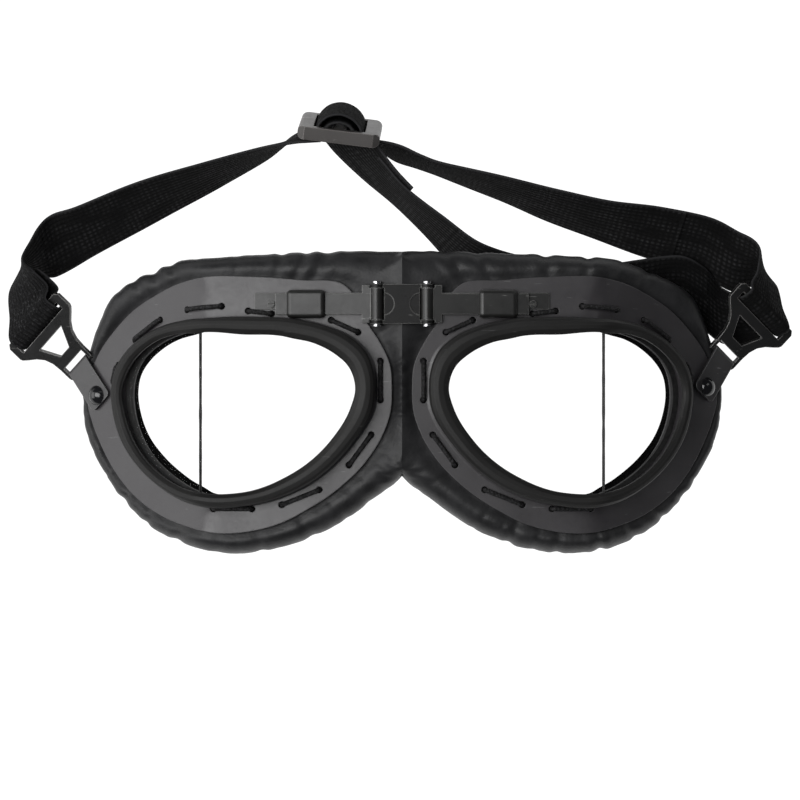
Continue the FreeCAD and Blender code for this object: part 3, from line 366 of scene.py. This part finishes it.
def reach(outline, angle):
    """Distance of an outline from the lens centre, a cubic through its neighbours."""
    angles, radii = outline
    angle %= math.tau
    k = int(np.searchsorted(angles, angle, side="right"))
    k = min(max(k, 2), len(angles) - 2)
    (a0, a1, a2, a3), (r0, r1, r2, r3) = angles[k - 2:k + 2], radii[k - 2:k + 2]
    slope1, slope2, span = (r2 - r0) / (a2 - a0), (r3 - r1) / (a3 - a1), a2 - a1
    t = (angle - a1) / span
    return (r1 * (2 * t**3 - 3 * t**2 + 1) + slope1 * span * (t**3 - 2 * t**2 + t)
            + r2 * (-2 * t**3 + 3 * t**2) + slope2 * span * (t**3 - t**2))


OUTLINES = {"bezel": polar(BEZEL), "flange": polar(FLANGE), "pad": polar(PAD)}


def face_height(across):
    past = across - SPLIT_PLACE
    bend = (past + math.hypot(past, SPLIT_ROUND)) / 2
    return FRONT_HEIGHT - FRONT_SLOPE * (across - NOSE_EDGE) - (SIDE_SLOPE - FRONT_SLOPE) * bend


def face_tilt(across):
    past = across - SPLIT_PLACE
    share = (1 + past / math.hypot(past, SPLIT_ROUND)) / 2
    return math.atan(FRONT_SLOPE + (SIDE_SLOPE - FRONT_SLOPE) * share)


def flange_height(across):
    return face_height(across) - WALL_DEPTH / math.cos(face_tilt(across))


def smooth_step(x, low, high):
    t = min(1.0, max(0.0, (x - low) / (high - low)))
    return t * t * (3 - 2 * t)


def pad_floor(across, up):
    """The underside: flat at the temples, arched over the nose and the brow."""
    share = max(0.0, 1 - (across / 75.0) ** 2)
    temple = min(1.0, max(0.0, (96.0 - across) / 14.0))
    return 14.0 * share + 8.0 * smooth_step(up, 14.0, 30.0) * temple


# ---------------------------------------------------------------- leather pads

AROUND, SECTION, DENSE = 320, 46, 160
MEAN_RADIUS, LEVEL_ABOVE = 46.0, 0.8


def pad_section(angle):
    """Even points: distance from the lens centre, share across, share up, height; and the rim."""
    direction = (math.cos(angle), math.sin(angle))
    outer = reach(OUTLINES["pad"], angle)
    rim = reach(OUTLINES["flange"], angle)
    bezel = reach(OUTLINES["bezel"], angle)
    tilt = face_tilt(LENS_CENTRE[0] + bezel * direction[0])
    inner = (bezel - WALL_DEPTH * math.sin(tilt) * direction[0] - 2.5
             - 0.9 * max(0.0, math.cos(angle + 0.7)))
    rim_across = LENS_CENTRE[0] + rim * direction[0]
    at_nose = 1 - smooth_step(LENS_CENTRE[0] + outer * direction[0], -3.0, 2.0)
    square_out = 0.62 - 0.20 * at_nose
    dense = []
    for n in range(DENSE):
        phi = math.tau * n / DENSE
        c, s = math.cos(phi), math.sin(phi)
        power = square_out if c > 0 else 0.7
        share = 0.5 + 0.5 * math.copysign(abs(c) ** power, c)
        rise = 0.5 + 0.5 * math.copysign(abs(s) ** 0.62, s)
        r = inner + (outer - inner) * share
        across = max(LENS_CENTRE[0] + r * direction[0], 0.0)
        up = LENS_CENTRE[1] + r * direction[1]
        roof = flange_height(min(across, rim_across)) - SHEET_METAL - 0.55
        band = max(outer - rim, 1e-6)
        past = (r - rim) / band
        if past > 0:
            roof += 1.5 * smooth_step(past, 0.0, 0.4)
            roof += 0.9 * at_nose * (1 - smooth_step(across, -0.4, 3.2))
        floor = pad_floor(across, up)
        # by the nose the top stays level right up to the seam
        full = rise + (1 - rise) * at_nose if rise > LEVEL_ABOVE else rise
        dense.append((r, share, rise, floor + (roof - floor) * full))
    dense = np.array(dense + dense[:1])
    steps = np.hypot(np.diff(dense[:, 0]), np.diff(dense[:, 3]))
    length = np.concatenate([[0], np.cumsum(steps)])
    wanted = np.linspace(0, length[-1], SECTION, endpoint=False)
    return np.stack([np.interp(wanted, length, dense[:, k]) for k in range(4)], axis=1), rim


def gather(rise, angle, seed):
    """Inward pull of the leather, in mm: creases that run square to the edge."""
    along = angle * MEAN_RADIUS
    wave = noise.noise(Vector((along * 0.085, seed, 0.0)))
    fine = noise.noise(Vector((along * 0.36, seed + 7.3, rise * 1.5)))
    crease = max(0.0, 1 - abs(wave) / 0.10)
    tuck = max(0.0, 1 - abs(fine) / 0.12)
    return 0.35 * crease + 0.12 * tuck - 0.5 * wave


# pleats seen along the edge: angle round the lens in degrees, depth in mm, width in mm
PLEATS = {
    "left": [(150, 0.9, 1.6), (141, 0.8, 1.4), (118, 0.9, 1.8), (112, 0.7, 1.3), (104, 0.8, 1.5),
             (64, 0.7, 1.6), (57, 0.9, 1.6), (50, 0.6, 1.2), (-35, 0.8, 1.5), (-48, 0.6, 1.3),
             (-62, 0.8, 1.8), (-98, 0.5, 1.4), (-120, 0.6, 1.6), (163, 0.6, 1.3)],
    "right": [(148, 0.6, 1.5), (126, 0.8, 1.6), (118, 0.7, 1.4), (96, 0.9, 1.8), (80, 0.6, 1.4),
              (58, 0.7, 1.6), (-33, 0.7, 1.5), (-45, 0.8, 1.4), (-58, 0.6, 1.6), (-74, 0.9, 1.6),
              (-92, 0.6, 1.4), (-112, 0.7, 1.6)],
}
# short cracks across the leather at the nose: level, lean and half length in mm
PUCKERS = [
    (8.6, 0.25, 4.0), (4.6, -0.3, 3.4), (0.2, 0.2, 3.0), (-3.4, -0.2, 4.6), (12.6, 0.4, 2.6),
]
PUCKER_DEEP, PUCKER_WIDE = 0.8, 0.62
# folds that fan out from the notch under the nose: level of the notch, count and reach in mm
NOTCH, NOTCH_FOLDS, NOTCH_REACH = -22.4, 11, 14


def keep_nose_edge(mesh):
    """Creases the edge where a pad meets the other at the middle, so the two join flush."""
    flat = {n for n, f in enumerate(mesh.polygons)
            if all(abs(mesh.vertices[v].co.x) < 1e-6 for v in f.vertices)}
    walls = {}
    for n, f in enumerate(mesh.polygons):
        for key in f.edge_keys:
            walls.setdefault(key, set()).add(n in flat)
    crease = mesh.attributes.new("crease_edge", "FLOAT", "EDGE")
    for edge in mesh.edges:
        if len(walls.get(edge.key, ())) == 2:
            crease.data[edge.index].value = 1.0
            edge.use_edge_sharp = True


def build_pad(word):
    """One leather ring, the points that its cloth holds still, and its two materials."""
    side = SIDES[word]
    seed = 3.1 if word == "left" else 11.7
    points, held, lining = [], [], []
    for a in range(AROUND):
        angle = math.tau * a / AROUND
        section, rim = pad_section(angle)
        for r, share, rise, height in section:
            across = LENS_CENTRE[0] + r * math.cos(angle)
            exposed = smooth_step(r, rim - 1.0, rim + 1.5) * smooth_step(rise, 0.05, 0.5)
            off_seam = smooth_step(across, 0.2, 3.0)
            pull = gather(rise, angle, seed) * exposed * off_seam * 0.8
            for turn, depth, width in PLEATS[word]:
                gap = (angle - math.radians(turn) + math.pi) % math.tau - math.pi
                gap = gap * r / width
                if abs(gap) < 4:
                    pull += 0.6 * depth * exposed * off_seam * (
                        math.exp(-gap * gap) - 0.45 * math.exp(-(abs(gap) - 1.6) ** 2))
            nx, nz = share - 0.5, rise - 0.5
            size = max(math.hypot(nx, nz), 1e-6)
            r_pulled = r - pull * nx / size * 1.1
            height -= pull * nz / size
            x = max(LENS_CENTRE[0] + r_pulled * math.cos(angle), 0.0)
            y = LENS_CENTRE[1] + r_pulled * math.sin(angle)
            if x < 5 and rise > 0.7 and r > rim - 0.5:
                for level, lean, reach_x in PUCKERS:
                    off = y - level - lean * x * side - 0.3 * math.sin(x * side)
                    off /= PUCKER_WIDE
                    fade = 1 - smooth_step(x, reach_x * 0.4, reach_x)
                    height -= PUCKER_DEEP * math.exp(-off * off) * fade
            far = math.hypot(x, y - NOTCH)
            if rise > 0.6 and far < NOTCH_REACH:
                spin = math.atan2(y - NOTCH, x * side)
                near = math.exp(-((far - 4.5) / 3.2) ** 2) * smooth_step(r, rim - 0.3, rim + 1.2)
                fold = (0.55 if side < 0 else 0.3) * near
                height += fold * math.sin(NOTCH_FOLDS * spin + 0.25 * far)
            points.append((side * x, y, max(height, 0.0)))
            under = rise > 0.93 and r < rim - 1.2 and share > 0.12
            held.append(under or rise < 0.06 or x < 2.2)
            lining.append(share < 0.3 and 0.02 < rise < 0.97)
    faces, looks = [], []
    for a in range(AROUND):
        b = (a + 1) % AROUND
        for n in range(SECTION):
            m = (n + 1) % SECTION
            corners = [a * SECTION + n, b * SECTION + n, b * SECTION + m, a * SECTION + m]
            faces.append(corners if side > 0 else corners[::-1])
            looks.append(1 if all(lining[i] for i in corners) else 0)
    pad = mesh_piece("pad_leather_" + word, points, faces, ["leather", "fleece"])
    for polygon, look in zip(pad.data.polygons, looks):
        polygon.material_index = look
    return pad, held


def puff(piece, held, pressure=2.2, spread=0.035, frames=20, cap=0.0012, enlarge=10.0):
    """Fills a closed cloth with air: held points stay, the rest crumples and swells."""
    mesh = piece.data
    rest = np.array([v.co for v in mesh.vertices], float)
    mesh.vertices.foreach_set("co", (rest * enlarge).ravel())
    group = piece.vertex_groups.new(name="held")
    group.add([n for n, keep in enumerate(held) if keep], 1.0, "REPLACE")
    cloth = piece.modifiers.new("cloth", "CLOTH")
    settings = cloth.settings
    settings.quality = 6
    settings.mass = 0.25
    settings.vertex_group_mass = "held"
    settings.pin_stiffness = 1.0
    settings.use_pressure = True
    settings.uniform_pressure_force = pressure
    settings.effector_weights.gravity = 0
    settings.shrink_min = -spread
    settings.shrink_max = -spread
    settings.tension_stiffness = settings.compression_stiffness = 18
    settings.shear_stiffness = 8
    settings.bending_stiffness = 0.6
    settings.air_damping = 2.0
    cloth.collision_settings.use_collision = False
    cloth.point_cache.frame_start, cloth.point_cache.frame_end = 1, frames
    scene = bpy.context.scene
    scene.frame_start, scene.frame_end = 1, frames
    for number in range(1, frames + 1):
        scene.frame_set(number)
    graph = bpy.context.evaluated_depsgraph_get()
    done = piece.evaluated_get(graph).to_mesh()
    moved = np.array([v.co for v in done.vertices], float) / enlarge
    piece.evaluated_get(graph).to_mesh_clear()
    piece.modifiers.remove(cloth)
    piece.vertex_groups.remove(group)
    shift = moved - rest
    size = np.linalg.norm(shift, axis=1, keepdims=True)
    shift *= np.minimum(1.0, cap / np.maximum(size, 1e-9))
    result = rest + np.nan_to_num(shift)
    print(piece.name, "puffed by up to %.2f mm, mean %.2f" % (size.max() / MM, size.mean() / MM))
    mesh.vertices.foreach_set("co", result.ravel())
    mesh.update()
    scene.frame_set(1)


def refine(piece):
    """One level of subdivision, applied, and smooth faces."""
    bpy.context.view_layer.objects.active = piece
    piece.select_set(True)
    piece.modifiers.new("finer", "SUBSURF").levels = 1
    bpy.ops.object.modifier_apply(modifier="finer")
    piece.select_set(False)
    for polygon in piece.data.polygons:
        polygon.use_smooth = True


for word, side in SIDES.items():
    pad, held = build_pad(word)
    puff(pad, held)
    co = np.array([v.co for v in pad.data.vertices], float)
    co[:, 0] = side * np.maximum(side * co[:, 0], 0.0)
    co[:, 2] = np.maximum(co[:, 2], 0.0)
    pad.data.vertices.foreach_set("co", co.ravel())
    keep_nose_edge(pad.data)
    refine(pad)
    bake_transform(pad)
    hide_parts("pad_cover_" + word, "pad_foam_" + word)
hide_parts("nose_gusset")


# ---------------------------------------------------------------- straps

STRAP_WIDE, STRAP_THICK, RIBS, STEPS = 20.0, 1.25, 14, 12
# each strap plate: its hinge, and the ways that it points out and up
LEFT_BAR, RIGHT_BAR = Vector((-98.737, 10.886, 7.453)), Vector((98.352, 13.864, 7.732))
LEFT_OUT, RIGHT_OUT = Vector((-0.7197, 0.6943, 0.0)), Vector((0.6813, 0.7320, 0.0))
LEFT_UP, RIGHT_UP = Vector((-0.3122, -0.3236, 0.8932)), Vector((0.3432, -0.3194, 0.8833))
GLIDE_CENTRE = Vector((-18.9, 83.4, 13.3))
GLIDE_YAW, GLIDE_LEAN = math.radians(-7), math.radians(15)


def between_stations(values, steps):
    """A smooth curve through the values, with steps points to each gap."""
    ends = [values[0] * 2 - values[1]] + values + [values[-1] * 2 - values[-2]]
    result = []
    for p0, p1, p2, p3 in zip(ends, ends[1:], ends[2:], ends[3:]):
        for n in range(steps):
            t = n / steps
            result.append(p1 + (p2 - p0) * (t / 2)
                          + (p0 * 2 - p1 * 5 + p2 * 4 - p3) * (t * t / 2)
                          + (p1 * 3 - p0 - p2 * 3 + p3) * (t**3 / 2))
    return result + [values[-1]]


def strap_profile():
    """Cross-section of the webbing, (share of width, share of thickness): ribs on both faces."""
    upper = []
    fine = 6
    for n in range(RIBS * fine + 1):
        t = n / (RIBS * fine)
        edge = min(t, 1 - t) * 2
        swell = abs(math.sin(math.pi * RIBS * t)) ** 0.6
        body = min(1.0, (edge * 9) ** 0.5)
        upper.append((t * 2 - 1, body * (0.74 + 0.26 * swell)))
    return upper + [(s, -h) for s, h in reversed(upper[1:-1])]


def ribbon(name, stations, first=0.0, last=1.0):
    """A stretch of strap between two shares of the way along the stations."""
    middles = between_stations([Vector(m) for m, _ in stations], STEPS)
    widths = between_stations([Vector(w).normalized() for _, w in stations], STEPS)
    count = len(middles) - 1
    low, high = int(round(first * count)), int(round(last * count))
    profile = strap_profile()
    points, around, lengths, travelled = [], len(profile), [], 0.0
    for n in range(low, high + 1):
        along = middles[min(n + 1, count)] - middles[max(n - 1, 0)]
        wide = widths[n].normalized()
        thick = wide.cross(along).normalized()
        if n > low:
            travelled += (middles[n] - middles[n - 1]).length
        lengths.append(travelled)
        for share, height in profile:
            sag = noise.noise(Vector((middles[n].x * 0.05, middles[n].y * 0.05, share))) * 0.25
            points.append(middles[n] + wide * (share * STRAP_WIDE / 2)
                          + thick * (height * STRAP_THICK / 2 + sag))
    faces, uvs = [], []
    half = len(profile) // 2
    for n in range(high - low):
        for k in range(around):
            m = (k + 1) % around
            here, there = n * around, (n + 1) * around
            faces.append([here + k, here + m, there + m, there + k])
            v0 = profile[k][0] * STRAP_WIDE / 2 * MM
            v1 = profile[m][0] * STRAP_WIDE / 2 * MM
            u0, u1 = lengths[n] * MM, lengths[n + 1] * MM
            uvs += [(u0, v0), (u0, v1), (u1, v1), (u1, v0)]
    for n, turn in ((0, 1), (high - low, -1)):
        ring = [n * around + k for k in range(around)]
        for k in range(half):
            a, b = ring[k], ring[(k + 1) % around]
            c, d = ring[(-k - 1) % around], ring[-k % around]
            corners = list(dict.fromkeys((a, b, c, d)))[::turn]
            if len(corners) > 2:
                faces.append(corners)
                uvs += [(0.0, 0.0)] * len(corners)
    piece = mesh_piece(name, points, faces, ["webbing"])
    layer = piece.data.uv_layers.new(name="UVMap")
    for loop, uv in zip(layer.data, uvs):
        loop.uv = uv
    return piece


def at(base, out, up, forward, lift):
    """A place out from a plate's hinge and up from the plate."""
    return base + out * forward + up * lift


LEFT_WIDE, RIGHT_WIDE = LEFT_OUT.cross(LEFT_UP), RIGHT_UP.cross(RIGHT_OUT)
LEFT = [
    (at(LEFT_BAR, LEFT_OUT, LEFT_UP, 17.0, -1.9), LEFT_WIDE),
    (at(LEFT_BAR, LEFT_OUT, LEFT_UP, 17.0, 0.3), LEFT_WIDE),
    (at(LEFT_BAR, LEFT_OUT, LEFT_UP, 18.4, 1.6), LEFT_WIDE),
    (at(LEFT_BAR, LEFT_OUT, LEFT_UP, 21.9, 2.0), LEFT_WIDE),
    ((-114.8, 30.6, 9.2), (0.66, 0.50, 0.56)), ((-116.8, 36.8, 10.1), (0.48, 0.30, 0.82)),
    ((-116.4, 41.4, 10.5), (0.10, 0.20, 0.97)), ((-112.2, 43.9, 9.9), (-0.10, 0.50, 0.83)),
    ((-107.0, 48.2, 6.4), (-0.16, 0.86, 0.45)), ((-97.6, 52.6, 7.4), (-0.26, 0.74, 0.66)),
    ((-80.5, 60.6, 8.4), (-0.26, 0.59, 0.77)), ((-57.5, 70.1, 9.8), (-0.13, 0.33, 0.935)),
    ((-42.6, 76.2, 10.4), (-0.05, 0.10, 0.985)), ((-33.6, 80.4, 11.4), (0.03, -0.16, 0.98)),
    ((-28.8, 81.6, 12.0), (0.03, -0.25, 0.97)), ((-25.0, 81.9, 12.2), (0.03, -0.26, 0.96)),
]
LEFT_RETURN = [
    (at(LEFT_BAR, LEFT_OUT, LEFT_UP, 18.2, -1.75), LEFT_WIDE),
    (at(LEFT_BAR, LEFT_OUT, LEFT_UP, 21.0, -1.5), LEFT_WIDE),
    ((-112.0, 29.9, 6.9), (0.68, 0.50, 0.54)), ((-113.4, 34.6, 8.2), (0.55, 0.36, 0.75)),
    ((-113.6, 38.0, 8.2), (0.26, 0.26, 0.92)),
]
FRONT = [
    ((-12.4, 81.2, 12.2), (0.05, -0.24, 0.97)), ((-7.6, 79.4, 11.6), (0.10, -0.04, 0.99)),
    ((-1.4, 76.4, 10.8), (0.10, 0.15, 0.98)), ((5.2, 73.8, 10.4), (0.07, 0.13, 0.99)),
    ((12.6, 71.2, 10.3), (0.04, 0.14, 0.99)), ((30.1, 65.9, 10.0), (0.09, 0.276, 0.957)),
    ((46.4, 60.4, 9.3), (0.14, 0.43, 0.89)), ((62.1, 55.9, 8.6), (0.15, 0.565, 0.81)),
    ((77.7, 52.2, 7.6), (0.20, 0.755, 0.625)), ((92.0, 48.8, 7.6), (0.20, 0.80, 0.56)),
    ((102.6, 43.2, 8.4), (0.08, 0.90, 0.42)), ((109.2, 42.0, 10.2), (-0.04, 0.58, 0.81)),
    ((112.0, 38.4, 10.8), (-0.36, 0.22, 0.90)), ((112.4, 32.6, 9.8), (-0.56, 0.42, 0.71)),
    (at(RIGHT_BAR, RIGHT_OUT, RIGHT_UP, 21.0, 2.0), RIGHT_WIDE),
    (at(RIGHT_BAR, RIGHT_OUT, RIGHT_UP, 18.4, 1.6), RIGHT_WIDE),
    (at(RIGHT_BAR, RIGHT_OUT, RIGHT_UP, 17.0, 0.3), RIGHT_WIDE),
    (at(RIGHT_BAR, RIGHT_OUT, RIGHT_UP, 16.9, -1.5), RIGHT_WIDE),
]
BACK = [
    (at(RIGHT_BAR, RIGHT_OUT, RIGHT_UP, 18.8, -1.5), RIGHT_WIDE),
    (at(RIGHT_BAR, RIGHT_OUT, RIGHT_UP, 16.8, -2.6), RIGHT_WIDE),
    ((103.6, 26.8, 2.9), (-0.48, 0.87, 0.14)), ((98.4, 27.8, 2.4), (-0.12, 0.98, 0.16)),
    ((92.8, 32.4, 4.2), (0.0, 0.94, 0.34)), ((86.6, 36.2, 5.2), (0.0, 0.86, 0.51)),
    ((80.0, 36.2, 5.3), (0.0, 0.86, 0.51)), ((72.0, 34.7, 4.8), (0.0, 0.90, 0.43)),
    ((64.0, 33.2, 3.4), (0.0, 0.96, 0.28)), ((52.0, 33.0, 1.4), (0.02, 1.0, 0.04)),
    ((39.0, 35.2, 1.4), (0.36, 0.93, 0.04)), ((28.5, 38.8, 5.8), (0.52, 0.68, 0.50)),
    ((19.5, 45.2, 9.4), (0.38, 0.37, 0.85)), ((9.8, 54.2, 9.9), (0.26, 0.25, 0.93)),
    ((-0.6, 63.2, 10.2), (0.20, 0.18, 0.96)), ((-8.4, 70.6, 10.2), (0.34, 0.17, 0.92)),
    ((-14.4, 76.8, 9.6), (0.60, 0.0, 0.80)), ((-17.4, 80.6, 9.4), (0.70, -0.10, 0.70)),
]
SEWN_END = [
    ((-13.2, 77.6, 12.2), (0.56, 0.05, 0.83)), ((-9.0, 72.6, 12.2), (0.38, 0.24, 0.89)),
    ((-3.9, 67.6, 11.8), (0.26, 0.25, 0.93)), ((1.2, 62.9, 11.4), (0.22, 0.22, 0.95)),
]
glide_along = Vector((math.cos(GLIDE_YAW), math.sin(GLIDE_YAW), 0))
glide_rise = Vector((math.sin(GLIDE_YAW) * math.sin(GLIDE_LEAN),
                     -math.cos(GLIDE_YAW) * math.sin(GLIDE_LEAN), math.cos(GLIDE_LEAN)))
glide_out = glide_rise.cross(glide_along)


def over_bar(path):
    """Stations of the strap round the adjuster's bar, from places along and out from it."""
    return [(GLIDE_CENTRE + glide_along * along + glide_out * out, glide_rise)
            for along, out in path]


DOME = over_bar(((-7.6, -2.8), (-7.2, -1.4), (-6.9, 0.4), (-6.2, 3.0), (-3.8, 5.4), (-0.2, 6.4),
                 (3.6, 5.4), (6.2, 3.0), (6.9, 0.4), (7.2, -1.4), (7.6, -2.8)))
DOME_INNER = over_bar(((-5.4, -2.4), (-5.2, -1.0), (-4.7, 1.2), (-2.8, 3.2), (0.0, 3.9),
                       (2.8, 3.2), (4.7, 1.2), (5.2, -1.0), (5.4, -2.4)))


def chained(name, stations, cuts):
    """One stretch cut into pieces at the given shares of the way along its stations."""
    pieces = []
    for n, (start, end) in enumerate(zip(cuts, cuts[1:])):
        piece = ribbon("%s_%d" % (name, n + 1), stations, start, end)
        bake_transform(piece)
        pieces.append(piece)
    return pieces


left = chained("strap_left", LEFT, (0, 0.26, 0.5, 0.78, 1))
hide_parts("strap_left")
front = chained("strap_right_front", FRONT, (0, 0.2, 0.5, 0.74, 1))
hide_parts("strap_right_front")
back = chained("strap_right_back", BACK, (0, 0.22, 0.42, 0.74, 1))
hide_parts("strap_right_back")
for number, facing in enumerate((0.0, -0.1)):
    left[number].data.materials.append(MATERIALS["velour"])
    for polygon in left[number].data.polygons:
        if polygon.normal.x < facing:
            polygon.material_index = 1
returned = ribbon("strap_left_return", LEFT_RETURN)
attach(returned, "plate_left")
sewn = ribbon("strap_sewn_end", SEWN_END)
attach(sewn, "slider")
dome = ribbon("strap_dome", DOME)
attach(dome, "slider")
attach(ribbon("strap_dome_inner", DOME_INNER), "slider")
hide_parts("strap_through_slider")


# ---------------------------------------------------------------- sealing strip at each lens split

STRIP_WIDE, STRIP_DEEP, LENS_TOP = 0.26, 1.5, 1.95
STRIP_LOW, STRIP_ROWS = -27.5, 49
for word, side in SIDES.items():
    tilt = (face_tilt(0) + face_tilt(90)) / 2
    points, faces = [], []
    for n in range(STRIP_ROWS):
        y = STRIP_LOW + n
        top = face_height(SPLIT_PLACE) - LENS_TOP + 0.62
        wide = STRIP_WIDE / 2 * (1 + 0.5 * noise.noise(Vector((y * 0.3, side, 0.5))))
        middle = SPLIT_PLACE - LENS_TOP * math.sin(tilt)
        low_middle = middle - STRIP_DEEP * math.tan(tilt)
        points += [(side * (middle - wide), y, top), (side * (middle + wide), y, top),
                   (side * (low_middle + wide), y, top - STRIP_DEEP),
                   (side * (low_middle - wide), y, top - STRIP_DEEP)]
        if n:
            for k in range(4):
                m = (k + 1) % 4
                faces.append([4 * n - 4 + k, 4 * n - 4 + m, 4 * n + m, 4 * n + k])
    last = 4 * STRIP_ROWS - 1
    faces += [[0, 1, 2, 3], [last, last - 1, last - 2, last - 3]]
    strip = mesh_piece("lens_joint_" + word, points, faces, ["rubber"], smooth=False)
    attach(strip, "eye_" + word)


# ---------------------------------------------------------------- floor, light, camera

scene = bpy.context.scene
scene.view_settings.view_transform = "Standard"


def glowing(name, strength):
    material = bpy.data.materials.new(name)
    material.use_nodes = True
    tree = material.node_tree
    tree.nodes.clear()
    glow = tree.nodes.new("ShaderNodeEmission")
    glow.inputs["Color"].default_value = (1, 1, 1, 1)
    glow.inputs["Strength"].default_value = strength
    output = tree.nodes.new("ShaderNodeOutputMaterial")
    tree.links.new(glow.outputs["Emission"], output.inputs["Surface"])
    return material


FLOOR_HALF, FLOOR_LEVEL = 1.5, -0.0006
floor_mesh = bpy.data.meshes.new("floor")
floor_mesh.from_pydata([(FLOOR_HALF * x, FLOOR_HALF * y, FLOOR_LEVEL)
                        for x, y in ((-1, -1), (1, -1), (1, 1), (-1, 1))], [], [(0, 1, 2, 3)])
floor_mesh.materials.append(glowing("floor_white", 1.12))
floor = bpy.data.objects.new("floor", floor_mesh)
scene.collection.objects.link(floor)

world = bpy.data.worlds.new("studio")
scene.world = world
world.use_nodes = True
background = world.node_tree.nodes["Background"]
background.inputs["Color"].default_value = (0.9, 0.93, 1.0, 1)
background.inputs["Strength"].default_value = 0.08


def softbox(name, place, target, size, power):
    light = bpy.data.lights.new(name, "AREA")
    light.shape = "RECTANGLE"
    light.size, light.size_y = size
    light.energy = power
    lamp = bpy.data.objects.new(name, light)
    lamp.location = place
    lamp.rotation_euler = (Vector(target) - Vector(place)).to_track_quat("-Z", "Y").to_euler()
    scene.collection.objects.link(lamp)


softbox("key_left", (-0.56, 0.10, 1.15), (-0.05, 0.0, 0.0), (0.80, 1.1), 17.5)
softbox("side_left", (-1.25, 0.05, 0.40), (-0.05, 0.0, 0.0), (1.1, 0.75), 7.0)
softbox("fill_right", (0.75, 0.5, 0.9), (0.0, 0.0, 0.0), (0.3, 0.5), 0.8)

camera = bpy.data.cameras.new("camera")
camera.lens_unit = "FOV"
# the view takes in 238.4 mm of the goggles' face, which lies 960 mm below the lens
VIEW_HALF, VIEW_FAR = 119.2, 960.0
camera.angle = 2 * math.atan(VIEW_HALF / VIEW_FAR)
camera.clip_start, camera.clip_end = 0.01, 20
eye = bpy.data.objects.new("camera", camera)
eye.location = (-0.0006, 0.0006, 1.0)
scene.collection.objects.link(eye)
scene.camera = eye
